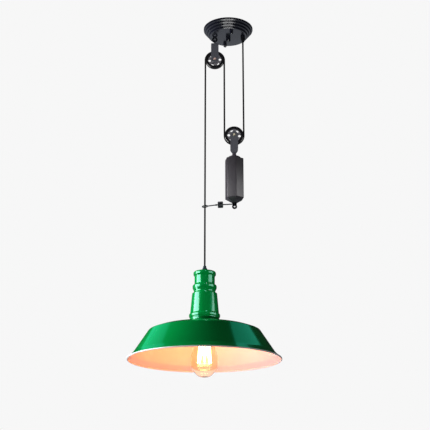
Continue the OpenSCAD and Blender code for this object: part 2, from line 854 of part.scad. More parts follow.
// Three poles side by side; the flex comes in from +X
terminal_x = anchor_x - tail_bend_r - 2 - terminal_l;
terminal_wire_z = canopy_floor - canopy_wall + tail_rise + tail_bend_r;
module terminal_block() {
    base_h = terminal_h * 0.3;
    color("ivory") translate([terminal_x, 0, canopy_floor]) difference() {
        union() {
            translate([0, -1.5 * terminal_pole_w, 0])
                cube([terminal_l, 3 * terminal_pole_w, base_h]);
            for (i = [-1:1])
                translate([0.5, (i - 0.42) * terminal_pole_w, base_h - 0.5])
                    cube([terminal_l - 1, terminal_pole_w * 0.84, terminal_h - base_h + 0.5]);
        }
        for (i = [-1:1]) {
            translate([-cut, i * terminal_pole_w, terminal_wire_z - canopy_floor])
                rotate([0, 90, 0]) cylinder(d = terminal_hole_d, h = terminal_l * 0.4 + cut);
            translate([terminal_l / 2, i * terminal_pole_w, terminal_h - 2.2])
                cylinder(r = terminal_hole_d / 2 + thread_play, h = 3);
        }
    }
}

module terminal_screws() {
    color("goldenrod") for (i = [-1:1])
        translate([terminal_x + terminal_l / 2, i * terminal_pole_w, canopy_floor + terminal_h - 2.2])
            difference() {
                cylinder(d = terminal_hole_d, h = 1.6);
                translate([-terminal_hole_d, -0.3, 1]) cube([2 * terminal_hole_d, 0.6, 1]);
            }
}

// Its head is under the bracket, where the earth wire goes
module earth_screw() {
    color("goldenrod") on_bracket_line() translate([0, earth_offset, -strap_t])
        rotate([180, 0, 0]) pan_screw(canopy_screw_d, strap_t - 0.3, screw_head_d, screw_head_h);
}

// Eye with a flange and a threaded shank through the shell
module hanging_eye() {
    shank_top = canopy_floor + inner_nut_h + 2;
    color("#2b2c33") translate([hook_x, 0, 0]) {
        translate([0, 0, eye_z]) along_y() rotate_extrude()
            translate([eye_r, 0]) circle(d = eye_wire_d, $fn = 24);
        translate([0, 0, -canopy_h - eye_flange_t]) cylinder(d = eye_flange_d, h = eye_flange_t);
        translate([0, 0, -canopy_h - eye_flange_t])
            cylinder(d = eye_shank_d, h = shank_top + canopy_h + eye_flange_t);
    }
}

module eye_nut() {
    color("silver") translate([hook_x, 0, canopy_floor]) union() {
        ring(eye_flange_d * 0.72, eye_shank_d / 2 + thread_play, 1);
        translate([0, 0, 1]) hex_nut(eye_shank_d * 1.6, eye_shank_d / 2, inner_nut_h - 1);
    }
}

// Tapered grip with a stem through the shell and a bore for the flex
module canopy_cord_grip() {
    stem_top = canopy_floor + inner_nut_h;
    color("#2b2c33") translate([anchor_x, 0, 0]) difference() {
        rotate_extrude() polygon(concat(
            [[cord_bore_r, grip_bottom]],
            rounded_line([
                [cord_bore_r + 0.2, grip_bottom, 0],
                [grip_end_d / 2, grip_bottom, 0.8],
                [grip_end_d / 2, grip_bottom + grip_l * 0.3, 3],
                [grip_d / 2, grip_bottom + grip_l * 0.55, 3],
                [grip_d / 2, -canopy_h, 0]
            ]),
            [[grip_stem_d / 2, -canopy_h], [grip_stem_d / 2, stem_top], [cord_bore_r, stem_top]]
        ));
        translate([0, 0, -canopy_h - grip_l * 0.22]) rotate([-90, 0, 0])
            cylinder(r = set_screw_d / 2 + thread_play, h = grip_d);
    }
}

module cord_grip_nut() {
    color("#2b2c33") translate([anchor_x, 0, canopy_floor])
        hex_nut(grip_stem_d * 1.24, grip_stem_d / 2, inner_nut_h - 0.6);
}

module canopy_grip_screw() {
    start = cord_bore_r + 0.1;
    color("silver") translate([anchor_x, start, -canopy_h - grip_l * 0.22]) rotate([-90, 0, 0])
        cylinder(d = set_screw_d, h = grip_d / 2 - start + 0.4);
}

// The flex from the grip to the terminal block
module cord_tail() {
    bend_z = -canopy_h + tail_rise;
    color("#3a3a3a") {
        straight_cord(anchor_x, bend_z, tail_z);
        translate([anchor_x - tail_bend_r, 0, bend_z]) along_y()
            rotate_extrude(angle = 90) translate([tail_bend_r, 0]) circle(r = cord_r, $fn = 24);
        translate([anchor_x - tail_bend_r, 0, bend_z + tail_bend_r]) rotate([0, -90, 0])
            cylinder(r = cord_r, h = anchor_x - tail_bend_r - terminal_x - terminal_l, $fn = 24);
    }
}

// ---------------------------------------------------------------------------
// Upper block

// Loop in the eye, with a shank through the yoke's crown
module upper_hook() {
    shank_top = hook_z - hook_r;
    shank_end = upper_z + yoke_reach - yoke_t - saddle_h - hook_end_l;
    color("#2b2c33") translate([hook_x, 0, 0]) {
        translate([0, 0, hook_z]) rotate([0, 90, 0]) rotate_extrude()
            translate([hook_r, 0]) circle(d = hook_wire_d, $fn = 24);
        translate([0, 0, shank_end]) cylinder(d = hook_shank_d, h = shank_top - shank_end);
    }
}

module hook_nut() {
    color("silver") at_upper_wheel() saddle(hook_shank_d / 2);
}

module upper_yoke() {
    color("#55565e") at_upper_wheel() bent_yoke(hook_shank_d / 2) {
        union() {
            circle(d = yoke_w, $fn = 64);
            translate([-yoke_w / 2, 0]) square([yoke_w, yoke_reach - yoke_round]);
            translate([-yoke_w / 2 + yoke_round, 0])
                square([yoke_w - 2 * yoke_round, yoke_reach]);
            for (side = [-1, 1]) translate([side * (yoke_w / 2 - yoke_round), yoke_reach - yoke_round])
                circle(r = yoke_round);
        }
    }
}

module upper_axle() {
    color("#b08070") at_upper_wheel() axle();
}

module upper_spacers() {
    color("silver") at_upper_wheel() spacers();
}

module cord_over_upper_wheel() {
    color("#3a3a3a") at_upper_wheel() half_turn();
}

module upper_wheel() {
    color("#3c3d42") at_upper_wheel() wheel(upper_hole_angle);
}

module upper_bush() {
    color("goldenrod") at_upper_wheel() bush();
}

// ---------------------------------------------------------------------------
// Lower block

// Its strap narrows to the neck in a smooth taper
module lower_yoke() {
    taper_start = yoke_reach - taper_l;
    steps = 8;
    half = yoke_w / 2;
    neck_half = yoke_neck_w / 2;
    taper = [
        for (i = [0:steps])
            let (t = i / steps)
            [half + (neck_half - half) * (1 - cos(180 * t)) / 2, taper_start + taper_l * t]
    ];
    left = [for (p = taper) [-p[0], p[1]]];
    color("#55565e") at_lower_block() bent_yoke(rod_r) union() {
        circle(d = yoke_w, $fn = 64);
        polygon(concat([[-half, 0], [half, 0]], taper, reversed(left)));
    }
}

module lower_axle() {
    color("#b8a880") at_lower_wheel() axle();
}

module lower_spacers() {
    color("silver") at_lower_wheel() spacers();
}

module cord_under_lower_wheel() {
    color("#3a3a3a") at_lower_block() half_turn();
}

module lower_wheel() {
    color("#3c3d42") at_lower_wheel() wheel(lower_hole_angle);
}

module lower_bush() {
    color("goldenrod") at_lower_wheel() bush();
}

// From its saddle head in the yoke, through the weight and the collar
module centre_rod() {
    crown_inside = weight_crown_z + yoke_t;
    color("silver") {
        on_weight_axis(rod_end) cylinder(r = rod_r, h = crown_inside + 1.5 - rod_end);
        at_lower_block() saddle(rod_r - 0.5);
        on_weight_axis(crown_inside + 1.5) cylinder(r = rod_r, h = saddle_h - 1.5);
    }
}

// ---------------------------------------------------------------------------
// Counterweight

// Concave flare, with a base ring that stands on the weight
module weight_cap() {
    top_r = yoke_neck_w / 2;
    base_r = top_r + flare_r;
    color("#45404a") on_weight_axis(weight_top) rotate_extrude() polygon(concat(
        [[rod_bore_r, 0], [rod_bore_r, flare_h]],
        [
            for (i = [0:10])
                let (a = 9 * i)
                [base_r - flare_r * cos(a), flare_h - flare_r * sin(a)]
        ],
        [
            [base_r + flare_base_step * 0.4, flare_base_h - 0.6],
            [base_r + flare_base_step, 0.8],
            [base_r + flare_base_step, 0]
        ]
    ));
}

module counterweight() {
    color("#45404a") on_weight_axis(0) difference() {
        rotate([0, 0, -weight_turn]) union() {
            translate([0, 0, weight_foot])
                cylinder(r = weight_r, h = weight_l - weight_bevel, $fn = 6);
            translate([0, 0, weight_top - weight_bevel])
                cylinder(r1 = weight_r, r2 = weight_r - weight_bevel, h = weight_bevel, $fn = 6);
            translate([0, 0, weight_tip])
                cylinder(r1 = point_r, r2 = weight_r, h = point_l, $fn = 6);
        }
        translate([0, 0, weight_tip - cut])
            cylinder(r = rod_bore_r, h = weight_l + point_l + 2 * cut);
    }
}

// Eye nut on the end of the rod, flat where it meets the collar
module weight_eye() {
    r = weight_eye_d / 2;
    half = weight_eye_t / 2;
    boss_r = rod_r + 1.5;
    color("#2b2c33") difference() {
        intersection() {
            on_weight_axis(0) union() {
                translate([0, 0, weight_eye_z]) along_y() rotate_extrude() polygon(rounded_line([
                    [0, -half, 0],
                    [r, -half, half * 0.8],
                    [r, half, half * 0.8],
                    [0, half, 0]
                ]));
                translate([0, 0, weight_eye_z + weight_eye_hole_d / 2])
                    cylinder(r = boss_r, h = eye_nut_top - weight_eye_z - weight_eye_hole_d / 2);
            }
            on_weight_axis(eye_nut_top - 2 * weight_eye_d)
                cylinder(r = weight_eye_d, h = 2 * weight_eye_d);
        }
        on_weight_axis(rod_end) cylinder(r = rod_r + thread_play, h = eye_thread_l + cut);
        on_weight_axis(weight_eye_z) along_y() translate([0, 0, -weight_eye_t])
            cylinder(d = weight_eye_hole_d, h = 2 * weight_eye_t);
    }
}

// ---------------------------------------------------------------------------
// Guide arm

module guide_collar() {
    color("#55565e") difference() {
        on_weight_axis(collar_z - collar_h / 2) rotate_extrude() polygon([
            [rod_bore_r, 0],
            [collar_d / 2 - 0.5, 0],
            [collar_d / 2, 0.5],
            [collar_d / 2, collar_h - 0.5],
            [collar_d / 2 - 0.5, collar_h],
            [rod_bore_r, collar_h]
        ]);
        along_arm() rod_along_arm(rod_bore_r + 0.8, collar_d, guide_r + thread_play);
    }
}

module guide_rod() {
    color("#8a8b90") along_arm()
        rod_along_arm(rod_bore_r + 0.8, adjuster_near + rod_entry, guide_r);
}

// Knurled barrel that the two rods enter from its ends
module adjuster_barrel() {
    r = adjuster_d / 2;
    bevel = 1.2;
    half = adjuster_l / 2;
    color("#2b2c33") along_arm() translate([-adjuster_offset, 0, 0]) rotate([0, 90, 0]) difference() {
        intersection() {
            translate([0, 0, -half]) linear_extrude(adjuster_l) polygon([
                for (i = [0:2 * knurl_count - 1])
                    let (a = i * 180 / knurl_count)
                    (i % 2 == 0 ? r : r - knurl_depth) * [cos(a), sin(a)]
            ]);
            rotate_extrude() polygon([
                [0, -half],
                [r - bevel, -half],
                [r + 0.01, -half + bevel],
                [r + 0.01, half - bevel],
                [r - bevel, half],
                [0, half]
            ]);
        }
        translate([0, 0, half - rod_entry - 0.5])
            cylinder(r = guide_r + running_play, h = rod_entry + cut);
        translate([0, 0, -half - cut])
            cylinder(r = eye_rod_r + running_play, h = adjuster_l / 2 + cut);
    }
}

// Rod with a closed eye round the lamp's flex. Its two parts meet in a ferrule.
module guide_eye_rod() {
    color("#8a8b90") along_arm() {
        rod_along_arm(eye_rod_start, eye_rod_bend, eye_rod_r);
        rod_along_arm(eye_rod_bend - ferrule_l / 2, eye_rod_bend + ferrule_l / 2, ferrule_d / 2);
        translate([-eye_rod_bend, 0, 0]) rotate([0, -eye_rod_slope, 0]) {
            rod_along_arm(0, eye_rod_l - guide_eye_r, eye_rod_r);
            translate([-eye_rod_l, 0, 0]) rotate([0, 0, 90]) rotate_extrude()
                translate([guide_eye_r, 0]) circle(r = eye_rod_r, $fn = 24);
        }
    }
}

// ---------------------------------------------------------------------------
// Straight falls of the flex

module cord_run_anchor() {
    color("#3a3a3a") straight_cord(anchor_x, tail_z, lower_z);
}

module cord_run_middle() {
    color("#3a3a3a") straight_cord(middle_x, upper_z, lower_z);
}

module cord_run_lamp() {
    color("#3a3a3a") straight_cord(lamp_x, upper_z, lamp_z + tail_top);
}

// ---------------------------------------------------------------------------
// Lamp

module lamp_cord_grip() {
    base = lamp_grip_d / 2;
    top = lamp_grip_end_d / 2;
    color("#3b3f4a") in_lamp() difference() {
        rotate_extrude() polygon(concat(
            [[nipple_bore_r, 0]],
            rounded_line([
                [nipple_bore_r + 0.2, 0, 0],
                [base, 0, 0.4],
                [base, lamp_grip_h * 0.42, 2.5],
                [top + 0.5, lamp_grip_h * 0.72, 3],
                [top, lamp_grip_h, 0.8],
                [cord_bore_r + 0.2, lamp_grip_h, 0]
            ]),
            [
                [cord_bore_r, lamp_grip_h],
                [cord_bore_r, nipple_entry + 1],
                [nipple_bore_r, nipple_entry]
            ]
        ));
        translate([0, 0, lamp_grip_h * 0.5]) rotate([-90, 0, 0])
            cylinder(r = set_screw_d / 2 + thread_play, h = lamp_grip_d);
    }
}

module lamp_grip_screw() {
    start = cord_bore_r + 0.1;
    color("silver") in_lamp() translate([0, start, lamp_grip_h * 0.5]) rotate([-90, 0, 0])
        cylinder(d = set_screw_d, h = lamp_grip_d / 2 - start);
}

module lamp_cord_tail() {
    tail_bottom = core_bottom + core_h;
    color("#3a3a3a") in_lamp() translate([0, 0, tail_bottom])
        cylinder(r = cord_r, h = tail_top - tail_bottom, $fn = 24);
}

// Ringed neck, open at its foot
neck_corners = [
    [nipple_r + screw_play, 0, 0],
    [neck_top_r, 0, neck_top_round],
    [neck_top_r, -neck_top_h, neck_round],
    [waist_r, -neck_top_h - flank_h, neck_round],
    [waist_r, -ring_drop + flank_h / 2, neck_round],
    [ring_r, -ring_drop - flank_h / 2, ring_round],
    [ring_r, -ring_drop - ring_h + 1.5 * flank_h, ring_round],
    [groove_r, -ring_drop - ring_h - flank_h / 2, neck_round],
    [groove_r, -skirt_drop + flank_h / 2, neck_round],
    [skirt_top_r, -skirt_drop - flank_h / 4, neck_round],
    [skirt_r, foot_band_h - neck_h, neck_round],
    [bead_r, bead_top - neck_h, neck_round],
    [bead_r, bead_top - bead_h - neck_h, neck_round],
    [foot_r, bead_top - 1.4 * bead_h - neck_h, neck_round / 2],
    [foot_r, -neck_h, 0]
];

module neck_cover() {
    color("#00883c") in_lamp() rotate_extrude($fn = 96)
        polygon(sheet_outline(rounded_line(neck_corners), neck_wall));
}

module neck_nipple() {
    color("silver") in_lamp() translate([0, 0, nipple_end])
        ring(nipple_r, nipple_bore / 2, nipple_entry - nipple_end);
}

module nipple_nuts() {
    color("silver") in_lamp() for (z = [-neck_wall - inner_nut_h, -holder_drop])
        translate([0, 0, z]) hex_nut(nipple_d * 1.4, nipple_r, inner_nut_h);
}

module holder_cap() {
    inner_top = -holder_drop - holder_wall;
    color("#1d1d20") in_lamp() rotate_extrude() polygon(concat(
        [[nipple_bore_r, -holder_drop]],
        rounded_line([
            [nipple_r + 1, -holder_drop, 0],
            [holder_r * 0.62, -holder_drop, 3],
            [holder_r + 0.4, -holder_drop - holder_cap_h * 0.6, 6],
            [holder_r + 0.4, holder_body_top, 0]
        ]),
        reversed(rounded_line([
            [nipple_bore_r, inner_top, 0],
            [holder_r * 0.62 - 1, inner_top, 2],
            [holder_inner_r, -holder_drop - holder_cap_h * 0.6 - 1, 5],
            [holder_inner_r, holder_body_top, 0]
        ]))
    ));
}

module holder_body() {
    color("#1d1d20") in_lamp() rotate_extrude() polygon([
        [holder_inner_r, holder_body_top],
        [holder_r, holder_body_top],
        [holder_r, shade_z + flange_h],
        [holder_r + flange_w, shade_z + flange_h],
        [holder_r + flange_w, shade_z],
        [holder_r, shade_z],
        [holder_r, holder_bottom + 1],
        [holder_r - 1, holder_bottom],
        [holder_inner_r, holder_bottom]
    ]);
}

// Notched ring that clamps the shade against the neck
module shade_ring() {
    notches = 8;
    outer_r = holder_r + ring_nut_t;
    color("#1d1d20") in_lamp() translate([0, 0, shade_z - shade_wall - ring_nut_h]) difference() {
        ring(outer_r, holder_r + thread_play, ring_nut_h);
        for (i = [0:notches - 1]) rotate([0, 0, i * 360 / notches])
            translate([outer_r + 0.8, 0, -cut]) cylinder(r = 2, h = ring_nut_h + 2 * cut);
    }
}

// Ceramic block that carries the shell and the contact
module holder_core() {
    color("ivory") in_lamp() translate([0, 0, core_bottom]) rotate_extrude() polygon([
        [0, 0],
        [shell_bore_r, 0],
        [shell_bore_r, -2],
        [core_r, -2],
        [core_r, core_h * 0.6],
        [core_r * 0.7, core_h],
        [0, core_h]
    ]);
}

module holder_shell() {
    shell_l = 22;
    color("goldenrod") in_lamp() translate([0, 0, core_bottom - 2 - shell_l])
        ring(shell_bore_r + shell_wall, shell_bore_r, shell_l);
}

module centre_contact() {
    color("goldenrod") in_lamp() translate([0, 0, core_bottom - contact_t])
        cylinder(r = 3.4, h = contact_t);
}

// Spun shade: cove, low crown, shoulder, straight cone and flared lip
shade_corners = [
    [shade_hole_d / 2, shade_z, 0],
    [foot_r, shade_z, 1.6 * shade_wall],
    [foot_r + shade_wall, cove_z, cove_round],
    [crown_r, cove_z - crown_drop, crown_round],
    [shoulder_r, shoulder_z, shoulder_round],
    [lip_r, shoulder_z - cone_h, lip_round],
    [rim_radius, shoulder_z - cone_h - lip_h, 0]
];
module shade() {
    color("#00883c") in_lamp() rotate_extrude($fn = 180)
        polygon(beaded_outline(rounded_line(shade_corners, 5), shade_wall, rim_bead_r));
}

// ---------------------------------------------------------------------------
// Bulb

glass_top = cap_lip + 3;
glass_neck_r = cap_r - cap_wall - 0.15;
// The blends from the bulb's neck to its flank, its side and its rounded end
neck_blend_r = 40;
flank_blend_r = 30;
end_blend_r = 16;
module bulb_glass() {
    wide_z = bulb_tip + bulb_wide_h;
    side_r = bulb_d / 2 + 0.2;
    corners = [
        [glass_neck_r, glass_top, 0],
        [glass_neck_r, cap_lip - 1, neck_blend_r / 10],
        [bulb_shoulder_d / 2, cap_lip - bulb_neck_l, neck_blend_r],
        [side_r, wide_z + bulb_side_h / 2, flank_blend_r],
        [side_r, wide_z - bulb_side_h / 2, end_blend_r],
        [bulb_tip_d / 2, bulb_tip + bulb_tip_h, flank_blend_r * 0.6],
        [strand_d, bulb_tip, strand_d],
        [0, bulb_tip, 0]
    ];
    color("#ffe0a0", 0.4) in_lamp() rotate_extrude($fn = 72)
        polygon(sheet_outline(rounded_line(corners, 6), glass_wall));
}

// Screw cap, with its lip round the glass
module bulb_cap() {
    ridges = 4;
    pitch = 3.6;
    root_r = cap_r - 1;
    thread_top = bulb_top - 4.2;
    color("silver") in_lamp() rotate_extrude() polygon(concat(
        [[4, bulb_top - 2.4], [8.6, bulb_top - 2.4], [root_r, thread_top + 0.6]],
        [
            for (i = [0:ridges - 1]) each [
                [root_r, thread_top - i * pitch],
                [cap_r, thread_top - (i + 0.35) * pitch],
                [cap_r, thread_top - (i + 0.65) * pitch],
                [root_r, thread_top - (i + 1) * pitch]
            ]
        ],
        [[cap_r, cap_lip + 4], [cap_r, cap_lip], [cap_r - cap_wall, cap_lip]],
        [
            [cap_r - cap_wall, cap_lip + 4.4],
            [root_r - cap_wall, cap_lip + 5.2],
            [root_r - cap_wall, thread_top],
            [8.2, bulb_top - 3.2],
            [4, bulb_top - 3.2]
        ]
    ));
}

// Insulated centre contact
module bulb_contact() {
    color("dimgray") in_lamp() rotate_extrude() polygon(rounded_line([
        [0, bulb_top, 0],
        [3.6, bulb_top, 0.8],
        [8.2, bulb_top - 2.4, 0],
        [4, bulb_top - 2.4, 0],
        [4, bulb_top - 4.5, 0],
        [0, bulb_top - 4.5, 0]
    ]));
}

// Glass stem with two spiders of wire that hold the strands
cage_top = cap_lip - 20;
cage_bottom = cage_top - cage_l;
module bulb_stem() {
    flare_r_top = glass_neck_r - glass_wall - 0.15;
    stem_r = 2.4;
    color("#d8e0dc") in_lamp() {
        rotate_extrude() polygon(rounded_line([
            [0, glass_top - 1, 0],
            [flare_r_top, glass_top - 1, 0],
            [flare_r_top, glass_top - 2.5, 0],
            [stem_r + 1.2, glass_top - 14, 14],
            [stem_r, cage_top - 4, 3],
            [stem_r * 0.8, cage_bottom - 1, 1],
            [0, cage_bottom - 1, 0]
        ]));
        for (i = [0:strands - 1]) rotate([0, 0, i * 360 / strands]) {
            translate([0, 0, cage_top]) rotate([0, 90, 0])
                cylinder(d = support_wire_d, h = cage_top_r + 1, $fn = 16);
            translate([0, 0, cage_bottom]) rotate([0, 90, 0])
                cylinder(d = support_wire_d, h = cage_r + 1, $fn = 16);
        }
    }
}

// Strands between the two spiders
module bulb_filaments() {
    room = support_wire_d / 2 + 0.25;
    rise = cage_l - 2 * room;
    run = cage_r - cage_top_r;
    color("#ffb050") in_lamp() for (i = [0:strands - 1]) rotate([0, 0, i * 360 / strands])
        translate([cage_r, 0, cage_bottom + room]) rotate([0, -atan(run / rise), 0])
            cylinder(d = strand_d, h = norm([run, rise]) - 0.1, $fn = 16);
}

ceiling_bracket();
canopy_shell();
canopy_screws();
canopy_cap_nuts();
centre_stud();
centre_lock_nut();
centre_cap_nut();
terminal_block();
terminal_screws();
earth_screw();
hanging_eye();
eye_nut();
canopy_cord_grip();
cord_grip_nut();
canopy_grip_screw();
cord_tail();
upper_hook();
hook_nut();
upper_yoke();
upper_axle();
upper_spacers();
cord_over_upper_wheel();
upper_wheel();
upper_bush();
lower_yoke();
lower_axle();
lower_spacers();
cord_under_lower_wheel();
lower_wheel();
lower_bush();
centre_rod();
weight_cap();
counterweight();
weight_eye();
guide_collar();
guide_rod();
adjuster_barrel();
guide_eye_rod();
cord_run_anchor();
cord_run_middle();
cord_run_lamp();
lamp_cord_grip();
lamp_grip_screw();
lamp_cord_tail();
neck_cover();
neck_nipple();
nipple_nuts();
holder_cap();
holder_body();
shade_ring();
holder_core();
holder_shell();
centre_contact();
shade();
bulb_glass();
bulb_cap();
bulb_contact();
bulb_stem();
bulb_filaments();
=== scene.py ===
"""Looks of a rise and fall pendant: pieces, finishes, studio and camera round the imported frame."""

import logging
import math
from dataclasses import dataclass
from enum import Enum
from typing import NamedTuple, Sequence

import bpy
from mathutils import Matrix, Vector


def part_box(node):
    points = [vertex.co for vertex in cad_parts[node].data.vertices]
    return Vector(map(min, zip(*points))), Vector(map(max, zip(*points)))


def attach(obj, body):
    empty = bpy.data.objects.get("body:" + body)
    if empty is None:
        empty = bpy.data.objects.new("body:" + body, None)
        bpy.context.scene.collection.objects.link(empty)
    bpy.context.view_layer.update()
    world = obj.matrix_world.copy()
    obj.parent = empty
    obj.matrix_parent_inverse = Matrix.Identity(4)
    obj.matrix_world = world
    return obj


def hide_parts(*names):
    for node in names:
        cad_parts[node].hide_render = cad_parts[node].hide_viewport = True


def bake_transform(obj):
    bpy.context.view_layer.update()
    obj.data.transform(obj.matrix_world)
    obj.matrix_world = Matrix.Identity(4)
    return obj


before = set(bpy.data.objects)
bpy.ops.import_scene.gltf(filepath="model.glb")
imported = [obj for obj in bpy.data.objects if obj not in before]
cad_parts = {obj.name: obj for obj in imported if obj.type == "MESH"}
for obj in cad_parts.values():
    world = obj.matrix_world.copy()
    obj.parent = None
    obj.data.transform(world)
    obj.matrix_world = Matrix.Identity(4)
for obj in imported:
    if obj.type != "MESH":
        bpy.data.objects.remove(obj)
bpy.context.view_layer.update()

MM = 0.001
LOG = logging.getLogger("pendant")

Tree = bpy.types.NodeTree
Socket = bpy.types.NodeSocket
Links = dict[str | int, Socket]
Settings = dict[str | int, object]
Triple = tuple[float, float, float]


class Corner(NamedTuple):
    """A corner of a turned outline, in millimetres from the axis and along it."""

    radius: float
    height: float
    rounding: float = 0.0


class Rays(Enum):
    """Which light a lamp gives."""

    FILL = "lights surfaces only"
    GLOSS = "shows in gloss only"


# ---------------------------------------------------------------------------
# Node graphs
# ---------------------------------------------------------------------------


def linear(code: str) -> tuple[float, float, float, float]:
    """Turn an sRGB hex colour into linear light.

    Args:
        code: Six hex digits after a hash sign.

    Returns:
        Red, green, blue and a full alpha.
    """
    levels = [int(code[i : i + 2], 16) / 255 for i in (1, 3, 5)]
    red, green, blue = (
        level / 12.92 if level <= 0.04045 else ((level + 0.055) / 1.055) ** 2.4 for level in levels
    )
    return red, green, blue, 1.0


def add_node(
    tree: Tree, kind: str, settings: Settings | None = None, links: Links | None = None
) -> bpy.types.Node:
    """Add a node, set its properties and sockets, and link its inputs.

    Args:
        tree: Node tree that gets the node.
        kind: Blender's type name of the node.
        settings: Value for each property, or for each input by name or number.
        links: Output socket for each linked input, by name or number.

    Returns:
        The new node.
    """
    node = tree.nodes.new(kind)
    for name, value in (settings or {}).items():
        if isinstance(name, int) or (not hasattr(node, name) and name in node.inputs):
            node.inputs[name].default_value = value
        else:
            setattr(node, name, value)
    for name, source in (links or {}).items():
        tree.links.new(node.inputs[name], source)
    return node


def add_noise(
    tree: Tree, here: Socket, size_mm: float, detail: float, distortion: float = 0.0
) -> Socket:
    """Add noise whose features have a real size.

    Args:
        tree: Node tree that gets the node.
        here: Place at which the noise is read, in metres.
        size_mm: Size of one feature.
        detail: Number of finer layers.
        distortion: How far the features are drawn out.

    Returns:
        The noise, from 0 to 1.
    """
    settings = {"Scale": 1.0 / (size_mm * MM), "Detail": detail, "Distortion": distortion}
    return add_node(tree, "ShaderNodeTexNoise", settings, {"Vector": here}).outputs["Fac"]


def mix_colours(tree: Tree, share: Socket, first: str | Socket, second: str) -> Socket:
    """Add a mix of two colours.

    Args:
        tree: Node tree that gets the node.
        share: Share of the second colour.
        first: First colour, as a hex code or a socket.
        second: Second colour, as a hex code.

    Returns:
        The mixed colour.
    """
    settings: Settings = {"data_type": "RGBA", 7: linear(second)}
    links: Links = {"Factor": share}
    if isinstance(first, str):
        settings[6] = linear(first)
    else:
        links[6] = first
    return add_node(tree, "ShaderNodeMix", settings, links).outputs[2]


def vector_math(tree: Tree, operation: str, first: Socket, second: Socket | Triple) -> Socket:
    """Add a vector operation.

    Args:
        tree: Node tree that gets the node.
        operation: Blender's name of the operation.
        first: First vector.
        second: Second vector, as numbers or a socket.

    Returns:
        The resulting vector of a multiplication, and the resulting number of any other operation.
    """
    settings: Settings = {"operation": operation}
    links: Links = {0: first}
    if isinstance(second, tuple):
        settings[1] = second
    else:
        links[1] = second
    output = "Vector" if operation == "MULTIPLY" else "Value"
    return add_node(tree, "ShaderNodeVectorMath", settings, links).outputs[output]


def map_value(
    tree: Tree, value: Socket, low: float, high: float, start: float = 0.0, stop: float = 1.0
) -> Socket:
    """Add a map from one range of values to another, which holds beyond its ends.

    Args:
        tree: Node tree that gets the node.
        value: Value to map.
        low: Result at the start.
        high: Result at the stop.
        start: Value at which the map starts.
        stop: Value at which the map stops.

    Returns:
        The mapped value.
    """
    settings = {"From Min": start, "From Max": stop, "To Min": low, "To Max": high}
    return add_node(tree, "ShaderNodeMapRange", settings, {"Value": value}).outputs["Result"]


def add_bump(
    tree: Tree, height: Socket, depth_mm: float, strength: float = 1.0, normal: Socket | None = None
) -> Socket:
    """Add a fine relief.

    Args:
        tree: Node tree that gets the node.
        height: Height of the relief, from 0 to 1.
        depth_mm: Height that stands for 1.
        strength: Share of the relief that is used.
        normal: Normal under the relief, or none for the surface's own.

    Returns:
        The normal with the relief.
    """
    links: Links = {"Height": height}
    if normal is not None:
        links["Normal"] = normal
    settings = {"Strength": strength, "Distance": depth_mm * MM}
    return add_node(tree, "ShaderNodeBump", settings, links).outputs["Normal"]


def add_skin(
    tree: Tree, colour: Socket, roughness: Socket, normal: Socket, settings: Settings
) -> Socket:
    """Add a Principled shader.

    Args:
        tree: Node tree that gets the node.
        colour: Base colour.
        roughness: Roughness.
        normal: Normal.
        settings: Value for each other input.

    Returns:
        The shader.
    """
    links = {"Base Color": colour, "Roughness": roughness, "Normal": normal}
    return add_node(tree, "ShaderNodeBsdfPrincipled", settings, links).outputs["BSDF"]


def add_choice(tree: Tree, choice: Socket, usual: Socket, other: Socket) -> Socket:
    """Add a choice between two shaders, where 1 chooses the other one."""
    links = {0: choice, 1: usual, 2: other}
    return add_node(tree, "ShaderNodeMixShader", links=links).outputs["Shader"]


# ---------------------------------------------------------------------------
# Finishes
# ---------------------------------------------------------------------------


@dataclass(frozen=True)
class Finish:
    """A finish with a name and a way to build its shader."""

    name: str

    def material(self) -> bpy.types.Material:
        """Make the Blender material of this finish on its first use.

        Returns:
            The material, which all pieces of this finish share.
        """
        made = bpy.data.materials.get(self.name)
        if made is not None:
            return made
        made = bpy.data.materials.new(self.name)
        made.use_nodes = True
        tree = made.node_tree
        tree.nodes.clear()
        here = add_node(tree, "ShaderNodeTexCoord").outputs["Object"]
        surface = self.surface(tree, here)
        add_node(tree, "ShaderNodeOutputMaterial", links={"Surface": surface})
        self.options(made)
        return made

    def surface(self, tree: Tree, here: Socket) -> Socket:
        """Build the shader.

        Args:
            tree: Node tree of the material.
            here: Place on the object, in metres.

        Returns:
            The shader's output socket.
        """
        raise NotImplementedError

    def options(self, made: bpy.types.Material) -> None:
        """Set what the material needs beside its nodes."""


@dataclass(frozen=True)
class StoveEnamel(Finish):
    """Sprayed and stoved gloss enamel on sheet metal."""

    # Gives the eye: deep even colour, sharp mirror lines with a faint orange peel,
    # and a slightly deeper tone where the coat lies thicker.
    colour: str
    deep: str
    roughness: float
    shine: str = "#FFFFFF"
    coat: float = 1.0
    coat_roughness: float = 0.04
    peel_mm: float = 2.4
    peel_height_mm: float = 0.006
    cloud_mm: float = 45.0

    def surface(self, tree: Tree, here: Socket) -> Socket:
        """Build enamel with clouded colour and orange peel.

        Args:
            tree: Node tree of the material.
            here: Place on the object, in metres.

        Returns:
            The shader's output socket.
        """
        cloud = add_noise(tree, here, self.cloud_mm, 2.0)
        peel = add_noise(tree, here, self.peel_mm, 1.0)
        return add_skin(
            tree,
            mix_colours(tree, cloud, self.colour, self.deep),
            map_value(tree, cloud, self.roughness * 0.8, self.roughness * 1.3),
            add_bump(tree, peel, self.peel_height_mm),
            {
                "IOR": 1.52,
                "Specular Tint": linear(self.shine),
                "Coat Weight": self.coat,
                "Coat Roughness": self.coat_roughness,
                "Coat IOR": 1.5,
            },
        )


